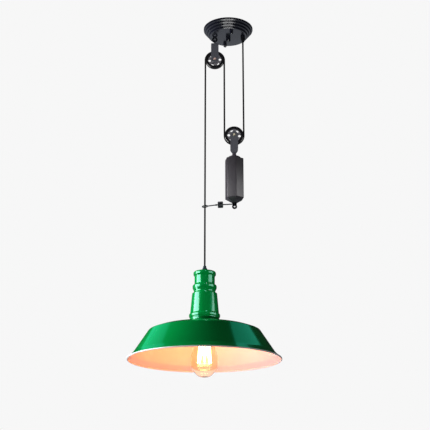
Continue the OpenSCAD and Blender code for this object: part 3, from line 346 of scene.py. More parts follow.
@dataclass(frozen=True)
class SatinPaint(Finish):
    """Powder-coated steel or iron with worn edges."""

    # Gives the eye: a dull sheen over a fine pebbled skin, clouded tone, and a paler
    # line where an edge has been handled.
    colour: str = "#55565E"
    deep: str = "#4A4B52"
    worn: str = "#7D7E86"
    roughness: float = 0.5
    pebble_mm: float = 0.7
    pebble_height_mm: float = 0.02
    cloud_mm: float = 9.0
    edge_mm: float = 0.8
    wear: float = 0.7
    wear_from: float = 0.97
    wear_to: float = 0.75

    def surface(self, tree: Tree, here: Socket) -> Socket:
        """Build pebbled paint that is paler along its edges.

        Args:
            tree: Node tree of the material.
            here: Place on the object, in metres.

        Returns:
            The shader's output socket.
        """
        flat = add_node(tree, "ShaderNodeNewGeometry").outputs["Normal"]
        bevel = {"samples": 4, "Radius": self.edge_mm * MM}
        soft = add_node(tree, "ShaderNodeBevel", bevel).outputs["Normal"]
        alike = vector_math(tree, "DOT_PRODUCT", flat, soft)
        wear = map_value(tree, alike, 0.0, self.wear, self.wear_from, self.wear_to)
        cloud = add_noise(tree, here, self.cloud_mm, 4.0)
        tone = mix_colours(tree, cloud, self.colour, self.deep)
        pebble = add_noise(tree, here, self.pebble_mm, 2.0)
        return add_skin(
            tree,
            mix_colours(tree, wear, tone, self.worn),
            map_value(tree, pebble, self.roughness * 0.85, self.roughness * 1.15),
            add_bump(tree, pebble, self.pebble_height_mm, normal=soft),
            {"IOR": 1.5},
        )


@dataclass(frozen=True)
class WheelPaint(Finish):
    """Cast wheel with a bare grey web and a glossy black rim."""

    # Gives the eye: a soft cast grey web with tiny pits, and a wet black ring round it.
    hub: tuple[float, float]
    rim_inner_mm: float
    web: str = "#7E7C82"
    web_deep: str = "#69676D"
    web_roughness: float = 0.5
    rim: str = "#1A191C"
    rim_roughness: float = 0.2
    rim_blur_mm: float = 0.5
    pit_mm: float = 0.9
    pit_depth_mm: float = 0.03

    def surface(self, tree: Tree, here: Socket) -> Socket:
        """Build web and rim, parted by the distance from the hub.

        Args:
            tree: Node tree of the material.
            here: Place on the object, in metres.

        Returns:
            The shader's output socket.
        """
        across = vector_math(tree, "MULTIPLY", here, (1.0, 0.0, 1.0))
        reach = vector_math(tree, "DISTANCE", across, (self.hub[0], 0.0, self.hub[1]))
        edge = self.rim_inner_mm * MM
        rim = map_value(tree, reach, 0.0, 1.0, (self.rim_inner_mm - self.rim_blur_mm) * MM, edge)
        pits = add_noise(tree, here, self.pit_mm, 3.0)
        web = mix_colours(tree, pits, self.web, self.web_deep)
        return add_skin(
            tree,
            mix_colours(tree, rim, web, self.rim),
            map_value(tree, rim, self.web_roughness, self.rim_roughness),
            add_bump(tree, pits, self.pit_depth_mm, 0.6),
            {"IOR": 1.5},
        )


@dataclass(frozen=True)
class BareMetal(Finish):
    """Plated, turned or drawn metal."""

    # Gives the eye: a metal's coloured mirror, broken by fine tool lines and by dull
    # patches of handling.
    colour: str = "#B8BABD"
    tarnish: str = "#94969A"
    roughness: float = 0.3
    grain_mm: float = 0.25
    grain_run: Triple = (1.0, 1.0, 0.05)
    grain_height_mm: float = 0.003
    patch_mm: float = 6.0

    def surface(self, tree: Tree, here: Socket) -> Socket:
        """Build metal with tool lines and dull patches.

        Args:
            tree: Node tree of the material.
            here: Place on the object, in metres.

        Returns:
            The shader's output socket.
        """
        patch = add_noise(tree, here, self.patch_mm, 3.0)
        drawn = vector_math(tree, "MULTIPLY", here, self.grain_run)
        grain = add_noise(tree, drawn, self.grain_mm, 2.0)
        return add_skin(
            tree,
            mix_colours(tree, patch, self.colour, self.tarnish),
            map_value(tree, patch, self.roughness * 0.75, self.roughness * 1.3),
            add_bump(tree, grain, self.grain_height_mm, 0.5),
            {"Metallic": 1.0},
        )


@dataclass(frozen=True)
class Moulded(Finish):
    """Moulded plastic, rubber sheath or phenolic resin."""

    # Gives the eye: one body colour with faint flow clouds and a fine mould grain that
    # breaks the highlight.
    colour: str
    flow: str
    roughness: float
    coat: float = 0.0
    grain_mm: float = 0.5
    grain_height_mm: float = 0.008
    flow_mm: float = 12.0

    def surface(self, tree: Tree, here: Socket) -> Socket:
        """Build a moulded skin with flow clouds and grain.

        Args:
            tree: Node tree of the material.
            here: Place on the object, in metres.

        Returns:
            The shader's output socket.
        """
        flow = add_noise(tree, here, self.flow_mm, 3.0, 0.6)
        grain = add_noise(tree, here, self.grain_mm, 2.0)
        return add_skin(
            tree,
            mix_colours(tree, flow, self.colour, self.flow),
            map_value(tree, grain, self.roughness * 0.85, self.roughness * 1.2),
            add_bump(tree, grain, self.grain_height_mm, 0.7),
            {"IOR": 1.5, "Coat Weight": self.coat, "Coat Roughness": 0.08},
        )


@dataclass(frozen=True)
class BlownGlass(Finish):
    """Blown lamp glass with a colour of its own."""

    # Gives the eye: a clear tinted wall that bends what is behind it, with soft waves
    # left by the blowing, and it lets the lamp's light out. A faint painted glow on the
    # wall itself stands in for the filament's light scattered in the glass.
    painted_glow_strength: float
    tint: str = "#FFEFE0"
    glow: str = "#FFB060"
    wave_mm: float = 16.0
    wave_height_mm: float = 0.02

    def surface(self, tree: Tree, here: Socket) -> Socket:
        """Build wavy tinted glass that casts no hard shadow.

        Args:
            tree: Node tree of the material.
            here: Place on the object, in metres.

        Returns:
            The shader's output socket.
        """
        wave = add_noise(tree, here, self.wave_mm, 0.0)
        glass = add_node(
            tree,
            "ShaderNodeBsdfPrincipled",
            {
                "Base Color": linear(self.tint),
                "Roughness": 0.0,
                "IOR": 1.47,
                "Transmission Weight": 1.0,
                # Painted glow: the glass itself gives off a little light.
                "Emission Color": linear(self.glow),
                "Emission Strength": self.painted_glow_strength,
            },
            {"Normal": add_bump(tree, wave, self.wave_height_mm)},
        ).outputs["BSDF"]
        clear = add_node(tree, "ShaderNodeBsdfTransparent", {"Color": linear(self.tint)})
        shadow = add_node(tree, "ShaderNodeLightPath").outputs["Is Shadow Ray"]
        return add_choice(tree, shadow, glass, clear.outputs["BSDF"])


@dataclass(frozen=True)
class GlowingWire(Finish):
    """Carbon filament at white heat."""

    # Gives the eye: a white-hot thread that burns out to pure light in the middle of
    # the bulb. Light on the surroundings comes from lamps that ride on the bulb.
    cold: str = "#6E5A48"
    hot: str = "#FFD08A"
    hottest: str = "#FFE2B4"
    strength: float = 24.0
    flicker_mm: float = 3.0

    def surface(self, tree: Tree, here: Socket) -> Socket:
        """Build a thread that glows, but not for light scattered off dull surfaces.

        Args:
            tree: Node tree of the material.
            here: Place on the object, in metres.

        Returns:
            The shader's output socket.
        """
        heat = add_noise(tree, here, self.flicker_mm, 1.0)
        wire = add_node(
            tree,
            "ShaderNodeBsdfPrincipled",
            {"Base Color": linear(self.cold), "Roughness": 0.7, "Emission Strength": self.strength},
            {"Emission Color": mix_colours(tree, heat, self.hot, self.hottest)},
        ).outputs["BSDF"]
        dull = add_node(tree, "ShaderNodeBsdfDiffuse", {"Color": linear(self.cold)}).outputs["BSDF"]
        scattered = add_node(tree, "ShaderNodeLightPath").outputs["Is Diffuse Ray"]
        return add_choice(tree, scattered, wire, dull)

    def options(self, made: bpy.types.Material) -> None:
        """Keep the thin wires out of the lamp sampling, which they would fill with noise."""
        made.cycles.emission_sampling = "NONE"


GREEN_ENAMEL = StoveEnamel(
    "green_stove_enamel", colour="#008238", deep="#007831", shine="#70FFEC", roughness=0.16, coat=0.4
)
WHITE_ENAMEL = StoveEnamel(
    "white_stove_enamel", colour="#F3EEE8", deep="#EFE9E2", roughness=0.3, coat=0.3
)
BLACK_ENAMEL = StoveEnamel(
    "black_stove_enamel",
    colour="#1E2030",
    deep="#191B28",
    roughness=0.24,
    coat_roughness=0.16,
    peel_height_mm=0.002,
    cloud_mm=30.0,
)
GREY_PAINT = SatinPaint("grey_powder_coat")
WEIGHT_PAINT = SatinPaint(
    "weight_hammered_paint",
    colour="#48424C",
    deep="#3C3740",
    worn="#6B6570",
    roughness=0.42,
    pebble_mm=1.4,
    pebble_height_mm=0.04,
    cloud_mm=14.0,
)
ZINC_STEEL = BareMetal("zinc_plated_steel")
BLACK_OXIDE = BareMetal(
    "black_oxide_steel", colour="#2E2F36", tarnish="#1E1F24", roughness=0.32, patch_mm=3.0
)
ROD_STEEL = BareMetal(
    "drawn_steel_rod", colour="#8E8E94", tarnish="#77777D", roughness=0.35, grain_run=(0.05, 1.0, 1.0)
)
BRASS = BareMetal("turned_brass", colour="#C9A45A", tarnish="#A8833F", roughness=0.25)
BRASS_RIVET = BareMetal("brass_rivet", colour="#D8C79A", tarnish="#B5A06A", roughness=0.35)
COPPER_RIVET = BareMetal("copper_rivet", colour="#D0A093", tarnish="#B07F72", roughness=0.35)
CAP_METAL = BareMetal("nickelled_lamp_cap", colour="#C8C4BA", tarnish="#AAA59A", roughness=0.25)
KNURLED_BLACK = BareMetal(
    "black_nickel_knurl", colour="#8A8B92", tarnish="#6A6B70", roughness=0.45, patch_mm=2.0
)
TERMINAL_PLASTIC = Moulded(
    "terminal_polyamide", colour="#DAD5C4", flow="#CFC9B6", roughness=0.45, grain_mm=0.6
)
GRIP_PLASTIC = Moulded("grip_nylon", colour="#24252C", flow="#1C1D22", roughness=0.35)
LAMP_GRIP_PLASTIC = Moulded(
    "lamp_grip_nylon", colour="#4C6672", flow="#3C525E", roughness=0.3, coat=0.4
)
FLEX_SHEATH = Moulded(
    "flex_pvc_sheath",
    colour="#303030",
    flow="#292929",
    roughness=0.7,
    grain_mm=1.6,
    grain_height_mm=0.006,
)
BAKELITE = Moulded(
    "holder_bakelite", colour="#17171A", flow="#221C1A", roughness=0.22, coat=0.6, flow_mm=8.0
)
PORCELAIN = Moulded(
    "glazed_porcelain", colour="#ECE9E1", flow="#E4E0D6", roughness=0.2, coat=1.0, flow_mm=20.0
)
VITRITE = Moulded(
    "black_glass_insulator", colour="#15151A", flow="#1E1C28", roughness=0.08, coat=1.0
)
# Both glasses give off a faint painted glow, which stands in for the filament's light caught in them.
AMBER_GLASS = BlownGlass("amber_bulb_glass", painted_glow_strength=0.02)
STEM_GLASS = BlownGlass("stem_glass", tint="#F4F8F6", glow="#FFC98C", painted_glow_strength=0.3)
FILAMENT = GlowingWire("carbon_filament")


# ---------------------------------------------------------------------------
# Outlines and meshes
# ---------------------------------------------------------------------------


def corner_arc(before: Corner, corner: Corner, after: Corner, step_deg: float) -> list[Vector]:
    """Round one corner of an outline.

    Args:
        before: Corner that the line comes from.
        corner: Corner to round.
        after: Corner that the line goes to.
        step_deg: Largest turn between two points of the arc.

    Returns:
        Points of the arc, from its start to its end.
    """
    point = Vector(corner[:2])
    back = (Vector(before[:2]) - point).normalized()
    ahead = (Vector(after[:2]) - point).normalized()
    half = back.angle(ahead) / 2
    centre = point + (back + ahead).normalized() * corner.rounding / math.sin(half)
    reach = corner.rounding / math.tan(half)
    start = point + back * reach - centre
    turn = (point + ahead * reach - centre).angle_signed(start)
    steps = max(2, math.ceil(abs(math.degrees(turn)) / step_deg))
    return [centre + Matrix.Rotation(turn * i / steps, 2) @ start for i in range(steps + 1)]


def rounded_line(corners: Sequence[Corner], step_deg: float = 6.0) -> list[Vector]:
    """Turn corners into a line whose corners are round.

    Args:
        corners: Corners of the line in order.
        step_deg: Largest turn between two points of an arc.

    Returns:
        Points of (radius, height) in millimetres.
    """
    line = [Vector(corners[0][:2])]
    for before, corner, after in zip(corners, corners[1:], corners[2:]):
        if corner.rounding > 0:
            line += corner_arc(before, corner, after, step_deg)
        else:
            line.append(Vector(corner[:2]))
    line.append(Vector(corners[-1][:2]))
    return line


def inner_corners(corners: Sequence[Corner], wall: float) -> list[Corner]:
    """Find the corners of a wall's inner face.

    Args:
        corners: Corners of the outer face, with the outside on the left.
        wall: Thickness of the wall in millimetres.

    Returns:
        Corners of the inner face in the same order.
    """
    points = [Vector(corner[:2]) for corner in corners]
    runs = [(b - a).normalized() for a, b in zip(points, points[1:])]
    rights = [Vector((run.y, -run.x)) for run in runs]
    inner = [Corner(*(points[0] + rights[0] * wall))]
    for i in range(1, len(points) - 1):
        one, two = rights[i - 1], rights[i]
        place = points[i] + (one + two) * wall / (1 + one.dot(two))
        outward = runs[i - 1].cross(runs[i]) > 0
        rounding = corners[i].rounding + (wall if outward else -wall)
        inner.append(Corner(place.x, place.y, max(rounding, 0.25) if corners[i].rounding else 0.0))
    inner.append(Corner(*(points[-1] + rights[-1] * wall)))
    return inner


def add_object(name: str, data: bpy.types.ID) -> bpy.types.Object:
    """Add an object to the scene.

    Args:
        name: Name of the object.
        data: Data block that the object carries.

    Returns:
        The new object.
    """
    made = bpy.data.objects.new(name, data)
    bpy.context.scene.collection.objects.link(made)
    return made


def finish_mesh(
    name: str,
    points: Sequence[Vector | Triple],
    faces: Sequence[Sequence[int]],
    sharp_deg: float = 35.0,
) -> bpy.types.Object:
    """Make a smooth-shaded object with its sharp edges kept.

    Args:
        name: Name of the piece.
        points: Vertices in metres.
        faces: Vertex numbers of each face.
        sharp_deg: Turn between faces from which an edge stays sharp.

    Returns:
        The new object, in the scene.
    """
    mesh = bpy.data.meshes.new(name)
    mesh.from_pydata([tuple(point) for point in points], [], [tuple(face) for face in faces])
    mesh.validate()
    mesh.polygons.foreach_set("use_smooth", [True] * len(mesh.polygons))
    mesh.set_sharp_from_angle(angle=math.radians(sharp_deg))
    mesh.update()
    return add_object(name, mesh)


def spin(
    name: str,
    line: Sequence[Vector],
    axis: Vector,
    sides: int = 256,
    second_from: int | None = None,
) -> bpy.types.Object:
    """Turn a closed line round an upright axis.

    Args:
        name: Name of the piece.
        line: Points of (radius, height) in millimetres, with the outside on the left.
        axis: A point of the axis in metres; heights count from it.
        sides: Number of sides round the axis.
        second_from: Point from which the faces take the second material slot.

    Returns:
        The turned piece.
    """
    points: list[Triple] = []
    rings: list[list[int]] = []
    turns = [math.tau * i / sides for i in range(sides)]
    for radius, height in line:
        z = axis.z + height * MM
        if radius < 1e-4:
            rings.append([len(points)] * sides)
            points.append((axis.x, axis.y, z))
            continue
        rings.append(list(range(len(points), len(points) + sides)))
        points += [
            (axis.x + radius * MM * math.cos(a), axis.y + radius * MM * math.sin(a), z) for a in turns
        ]
    faces: list[list[int]] = []
    slots: list[int] = []
    for index, (upper, lower) in enumerate(zip(rings, rings[1:] + rings[:1])):
        second = second_from is not None and index >= second_from
        for i in range(sides):
            j = (i + 1) % sides
            corners = [upper[i], lower[i], lower[j], upper[j]]
            face = [corner for k, corner in enumerate(corners) if corner != corners[k - 1]]
            if len(set(face)) > 2:
                faces.append(face)
                slots.append(int(second))
    made = finish_mesh(name, points, faces)
    if second_from is not None:
        made.data.polygons.foreach_set("material_index", slots)
    return made


def ring_faces(rings: int, sides: int, closed: bool = True) -> list[list[int]]:
    """Join rings of points by four-sided faces.

    Args:
        rings: Number of rings, whose points are numbered ring by ring.
        sides: Number of points of each ring.
        closed: True if the last ring joins the first.

    Returns:
        Point numbers of each face.
    """
    faces: list[list[int]] = []
    for i in range(rings if closed else rings - 1):
        one = i * sides
        two = (i + 1) % rings * sides
        for k in range(sides):
            beside = (k + 1) % sides
            faces.append([one + k, one + beside, two + beside, two + k])
    return faces


def tube(
    name: str, path: Sequence[Vector], radius: float, sides: int = 24, closed: bool = False
) -> bpy.types.Object:
    """Lay a round tube along a path.

    Args:
        name: Name of the piece.
        path: Points of the middle line in metres.
        radius: Radius of the tube in metres.
        sides: Number of sides round the tube.
        closed: True if the path returns to its first point.

    Returns:
        The tube, with flat ends where it is open.
    """
    count = len(path)
    points: list[Vector] = []
    aside = Vector((1.0, 0.0, 0.0))
    for i in range(count):
        behind = path[i - 1] if closed or i else path[i]
        beyond = path[(i + 1) % count] if closed or i < count - 1 else path[i]
        along = (beyond - behind).normalized()
        aside = (aside - along * aside.dot(along)).normalized()
        other = along.cross(aside)
        points += [
            path[i] + radius * (aside * math.cos(a) + other * math.sin(a))
            for a in (math.tau * k / sides for k in range(sides))
        ]
    faces = ring_faces(count, sides, closed)
    if not closed:
        faces.append(list(reversed(range(sides))))
        faces.append(list(range((count - 1) * sides, count * sides)))
    return finish_mesh(name, points, faces)


def eased(path: Sequence[Vector], reach: float, steps: int = 4) -> list[Vector]:
    """Round the corners of a closed path.

    Args:
        path: Corners in order.
        reach: Distance from a corner at which its bend starts, in metres.
        steps: Number of parts of each bend.

    Returns:
        Points of the rounded path.
    """
    line: list[Vector] = []
    for i, corner in enumerate(path):
        start = corner + (path[i - 1] - corner).normalized() * reach
        end = corner + (path[(i + 1) % len(path)] - corner).normalized() * reach
        for k in range(steps + 1):
            t = k / steps
            line.append(start.lerp(corner, t).lerp(corner.lerp(end, t), t))
    return line


# ---------------------------------------------------------------------------
# Pieces on the frame
# ---------------------------------------------------------------------------


def stand_in(
    piece: bpy.types.Object, body: str, slot: str, finishes: Sequence[Finish], *nodes: str
) -> bpy.types.Object:
    """Put a new piece on its body in the place of CAD nodes.

    Args:
        piece: The new piece.
        body: Body that carries it.
        slot: Name of a material slot; it is not used.
        finishes: Finish of each material slot of the piece.
        nodes: CAD nodes that it stands for.

    Returns:
        The piece.
    """
    for finish in finishes:
        piece.data.materials.append(finish.material())
    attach(piece, body)
    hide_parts(*nodes)
    LOG.info("%s stands for %s on %s", piece.name, ", ".join(nodes), body)
    return piece


def dress(finish: Finish, *nodes: str) -> None:
    """Give CAD nodes their finish.

    Args:
        finish: Finish of all their faces.
        nodes: Names of the nodes.
    """
    for node in nodes:
        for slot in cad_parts[node].material_slots:
            slot.material = finish.material()
        LOG.info("%s is finished in %s", node, finish.name)


def middle(node: str) -> Vector:
    """Return the middle of a CAD node's box, in metres."""
    low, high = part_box(node)
    return (low + high) / 2


def lamp_axis(node: str) -> Vector:
    """Find a point of a lamp piece's axis, at the height of the neck's top.

    Args:
        node: CAD node that the axis runs through.

    Returns:
        The point in metres.
    """
    place = middle(node)
    place.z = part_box("neck_cover")[1].z
    return place


@dataclass
class Canopy:
    """Stepped ceiling cup with its bracket, fasteners and wiring."""

    top_r: float = 63.5
    bottom_r: float = 49.7
    height: float = 23.0
    wall: float = 1.2
    steps: int = 4
    step_round: float = 3.1
    valley_round: float = 1.4

    def build(self) -> None:
        """Spin the cup."""
        low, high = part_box("canopy_shell")
        axis = Vector(((low.x + high.x) / 2, (low.y + high.y) / 2, high.z))
        run = (self.top_r - self.bottom_r) / (self.steps - 1)
        rise = self.height / self.steps
        corners = [Corner(self.top_r, 0.0)]
        for i in range(self.steps):
            corners.append(Corner(self.top_r - i * run, -(i + 1) * rise, self.step_round))
            if i < self.steps - 1:
                corners.append(
                    Corner(self.top_r - (i + 1) * run, -(i + 1) * rise, self.valley_round)
                )
        corners.append(Corner(0.0, -self.height))
        outer = rounded_line(corners)
        inner = rounded_line(inner_corners(corners, self.wall))
        cup = spin("canopy_cup", outer + inner[::-1], axis)
        stand_in(cup, "ceiling_mount", "black_enamel", [BLACK_ENAMEL], "canopy_shell")

    def dress(self) -> None:
        """Finish the bracket, the fasteners and the wiring."""
        dress(ZINC_STEEL, "ceiling_bracket", "canopy_screws", "canopy_grip_screw")
        dress(ZINC_STEEL, "centre_stud", "centre_lock_nut")
        dress(BLACK_ENAMEL, "canopy_cap_nuts", "centre_cap_nut")
        dress(BLACK_OXIDE, "hanging_eye", "eye_nut")
        dress(GRIP_PLASTIC, "canopy_cord_grip", "cord_grip_nut")
        dress(TERMINAL_PLASTIC, "terminal_block")
        dress(BRASS, "terminal_screws", "earth_screw")


@dataclass
class SheaveBlocks:
    """Two blocks, each with a bent yoke, a pierced wheel and its axle."""

    rim_inner: float = 17.2

    def dress(self) -> None:
        """Finish hooks, yokes, wheels, axles and spacers."""
        dress(BLACK_OXIDE, "upper_hook")
        dress(ZINC_STEEL, "hook_nut")
        for block, rivet in (("upper", COPPER_RIVET), ("lower", BRASS_RIVET)):
            dress(GREY_PAINT, f"{block}_yoke")
            dress(rivet, f"{block}_axle")
            dress(ZINC_STEEL, f"{block}_spacers")
            dress(BRASS, f"{block}_bush")
            hub = middle(f"{block}_wheel")
            paint = WheelPaint(f"{block}_wheel_paint", (hub.x, hub.z), self.rim_inner)
            dress(paint, f"{block}_wheel")


@dataclass
class Counterweight:
    """Hexagonal weight under a flared cap, on its rod."""

    corner_r: float = 24.2
    edge_round: float = 1.4
    turn_deg: float = 20.0
    bevel: float = 0.8
    point_r: float = 5.6
    point_l: float = 11.8
    bore_r: float = 2.56
    cap_top_r: float = 4.7
    flare_r: float = 10.0
    base_step: float = 1.2
    shoulder_h: float = 0.5
    shoulder_drop: float = 0.1
    shoulder_r: float = 0.3
    point_round: float = 0.5

    def section(self, corner_r: float, edge_round: float, bend_steps: int = 5) -> list[Vector]:
        """Draw a hexagon with round edges.

        Args:
            corner_r: Radius to the sharp corners, in millimetres.
            edge_round: Rounding of the corners.
            bend_steps: Number of parts of each round corner.

        Returns:
            Points of (x, y) in millimetres round the axis.
        """
        loop: list[Vector] = []
        flat_r = corner_r * math.cos(math.radians(30))
        centre_r = (flat_r - edge_round) / math.cos(math.radians(30))
        for i in range(6):
            turn = math.radians(60 * i - self.turn_deg)
            centre = centre_r * Vector((math.cos(turn), math.sin(turn)))
            for k in range(bend_steps + 1):
                a = turn + math.radians(-30 + 60 * k / bend_steps)
                loop.append(centre + edge_round * Vector((math.cos(a), math.sin(a))))
        return loop

    def build_body(self) -> None:
        """Stack the sections of the weight round its bore."""
        low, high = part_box("counterweight")
        axis = middle("centre_rod")
        count = len(self.section(self.corner_r, self.edge_round))
        turns = [math.radians(360 * i / count - self.turn_deg - 30) for i in range(count)]
        bore = [self.bore_r * Vector((math.cos(a), math.sin(a))) for a in turns]
        foot = low.z / MM + self.point_l
        top = high.z / MM
        bevel_steps = 4
        stack = [(bore, top)]
        for k in range(bevel_steps + 1):
            a = math.radians(90 * k / bevel_steps)
            edge_r = self.corner_r - self.bevel * (1 - math.sin(a))
            edge_z = top - self.bevel * (1 - math.cos(a))
            stack.append((self.section(edge_r, self.edge_round), edge_z))
        shoulder_r = self.corner_r - self.shoulder_r
        stack.append((self.section(self.corner_r, self.edge_round), foot + self.shoulder_h))
        stack.append((self.section(shoulder_r, self.edge_round), foot - self.shoulder_drop))
        stack.append((self.section(self.point_r, self.point_round), low.z / MM))
        stack.append((bore, low.z / MM))
        points = [
            (axis.x + x * MM, axis.y + y * MM, z * MM) for loop, z in stack for x, y in loop
        ]
        # The stack runs down the outside, so each face is turned to look outward.
        faces = [face[:1] + face[:0:-1] for face in ring_faces(len(stack), count)]
        body = finish_mesh("hexagonal_weight", points, faces, sharp_deg=40.0)
        stand_in(body, "counterweight", "weight_paint", [WEIGHT_PAINT], "counterweight")

    def build_cap(self) -> None:
        """Spin the flared cap."""
        low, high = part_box("weight_cap")
        axis = Vector((middle("centre_rod").x, middle("centre_rod").y, high.z))
        flare = [
            Vector((self.cap_top_r + self.flare_r * (1 - math.cos(a)), -self.flare_r * math.sin(a)))
            for a in (math.radians(5 * i) for i in range(19))
        ]
        waist_r, waist = flare[-1]
        base = (low.z - high.z) / MM
        foot = rounded_line(
            [
                Corner(waist_r, waist),
                Corner(waist_r + 0.4 * self.base_step, waist - 0.6, 0.5),
                Corner(waist_r + self.base_step, base + 0.8, 1.0),
                Corner(waist_r + self.base_step, base, 0.4),
                Corner(self.bore_r, base),
            ]
        )
        line = [Vector((self.bore_r, 0.0))] + flare + foot
        cap = spin("weight_flare_cap", line, axis, sides=128)
        stand_in(cap, "counterweight", "weight_paint", [WEIGHT_PAINT], "weight_cap")

    def dress(self) -> None:
        """Finish the rod and the eye nut."""
        dress(ZINC_STEEL, "centre_rod")
        dress(BLACK_OXIDE, "weight_eye")


@dataclass
class GuideArm:
    """Arm from the weight's rod to the eye round the flex."""

    def dress(self) -> None:
        """Finish the collar, the rods and the knurled barrel."""
        dress(BLACK_OXIDE, "guide_collar")
        dress(ROD_STEEL, "guide_rod", "guide_eye_rod")
        dress(KNURLED_BLACK, "adjuster_barrel")


@dataclass
class Flex:
    """Round flex through grip, wheels and neck."""

    radius: float = 2.1
    ring_gap: float = 3.0

    def run(self, node: str, body: str) -> None:
        """Build one straight run in the place of its CAD node, and hide the node.

        Args:
            node: CAD node of the run.
            body: Body at the lower end, which only the log names.
        """
        low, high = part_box(node)
        axis = middle(node)
        top = Vector((axis.x, axis.y, high.z))
        foot = Vector((axis.x, axis.y, low.z))
        count = math.ceil((top - foot).length / MM / self.ring_gap)
        path = [top.lerp(foot, i / count) for i in range(count + 1)]
        piece = tube(node.replace("cord_run", "flex"), path, self.radius * MM)
        piece.data.materials.append(FLEX_SHEATH.material())
        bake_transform(piece)
        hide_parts(node)
        LOG.info("%s runs from the ceiling to %s", piece.name, body)

    def build(self) -> None:
        """Build the three straight runs."""
        self.run("cord_run_anchor", "travelling_block")
        self.run("cord_run_middle", "travelling_block")
        self.run("cord_run_lamp", "lamp")

    def dress(self) -> None:
        """Finish the bends round the wheels and the tails."""
        dress(FLEX_SHEATH, "cord_tail", "lamp_cord_tail")
        dress(FLEX_SHEATH, "cord_over_upper_wheel", "cord_under_lower_wheel")


@dataclass
class LampHead:
    """Ringed neck, shade and lampholder."""

    neck_wall: float = 1.6
    shade_wall: float = 1.0
    bead_r: float = 1.7
    # Share of the rolled rim that stays green. The white rest is enamel that also serves as a painted
    # highlight along the near rim.
    green_share: float = 0.2
    neck: tuple[Corner, ...] = (
        Corner(5.2, 0.0),
        Corner(26.9, 0.0, 4.5),
        Corner(26.9, -8.4, 2.0),
        Corner(24.2, -12.0, 2.0),
        Corner(24.2, -31.2, 2.0),
        Corner(28.7, -34.8, 3.8),
        Corner(28.7, -41.0, 3.8),
        Corner(25.4, -48.2, 2.0),
        Corner(25.4, -51.2, 2.0),
        Corner(29.7, -53.9, 2.0),
        Corner(34.1, -102.5, 2.0),
        Corner(36.8, -105.38, 2.0),
        Corner(36.8, -110.48, 2.0),
        Corner(34.8, -112.52, 1.0),
        Corner(34.8, -114.0),
    )
    shade: tuple[Corner, ...] = (
        Corner(20.7, -114.0),
        Corner(34.8, -114.0, 1.6),
        Corner(35.8, -128.4, 13.0),
        Corner(104.0, -135.3, 120.0),
        Corner(131.7, -145.3, 5.0),
        Corner(167.0, -199.0, 30.0),
        Corner(178.6, -210.1),
    )

    def build_neck(self) -> None:
        """Spin the ringed neck."""
        outer = rounded_line(self.neck)
        inner = rounded_line(inner_corners(self.neck, self.neck_wall))
        neck = spin("ringed_neck", outer + inner[::-1], lamp_axis("neck_cover"))
        stand_in(neck, "lamp", "green_enamel", [GREEN_ENAMEL], "neck_cover")

    def build_shade(self) -> None:
        """Spin the shade with its rolled rim, green outside and white inside; the white runs round most
        of the rim, where it also paints in the highlight line along the near rim.
        """
        outer = rounded_line(self.shade, 2.0)
        inner = rounded_line(inner_corners(self.shade, self.shade_wall), 2.0)
        ahead = (outer[-1] - outer[-2]).normalized()
        half = math.asin(self.shade_wall / 2 / self.bead_r)
        centre = (outer[-1] + inner[-1]) / 2 + ahead * self.bead_r * math.cos(half)
        start = outer[-1] - centre
        sweep = math.tau - 2 * half
        steps = 28
        bead = [
            centre + Matrix.Rotation(-sweep * i / steps, 2) @ start for i in range(1, steps)
        ]
        shell = spin(
            "spun_shade",
            outer + bead + inner[::-1],
            lamp_axis("neck_cover"),
            sides=360,
            second_from=len(outer) + round(self.green_share * len(bead)),
        )
        stand_in(shell, "lamp", "green_enamel", [GREEN_ENAMEL, WHITE_ENAMEL], "shade")

    def dress(self) -> None:
        """Finish the cord grip, the tube and the lampholder."""
        dress(LAMP_GRIP_PLASTIC, "lamp_cord_grip")
        dress(ZINC_STEEL, "lamp_grip_screw", "neck_nipple", "nipple_nuts")
        dress(BAKELITE, "holder_cap", "holder_body", "shade_ring")
        dress(PORCELAIN, "holder_core")
        dress(BRASS, "holder_shell", "centre_contact")


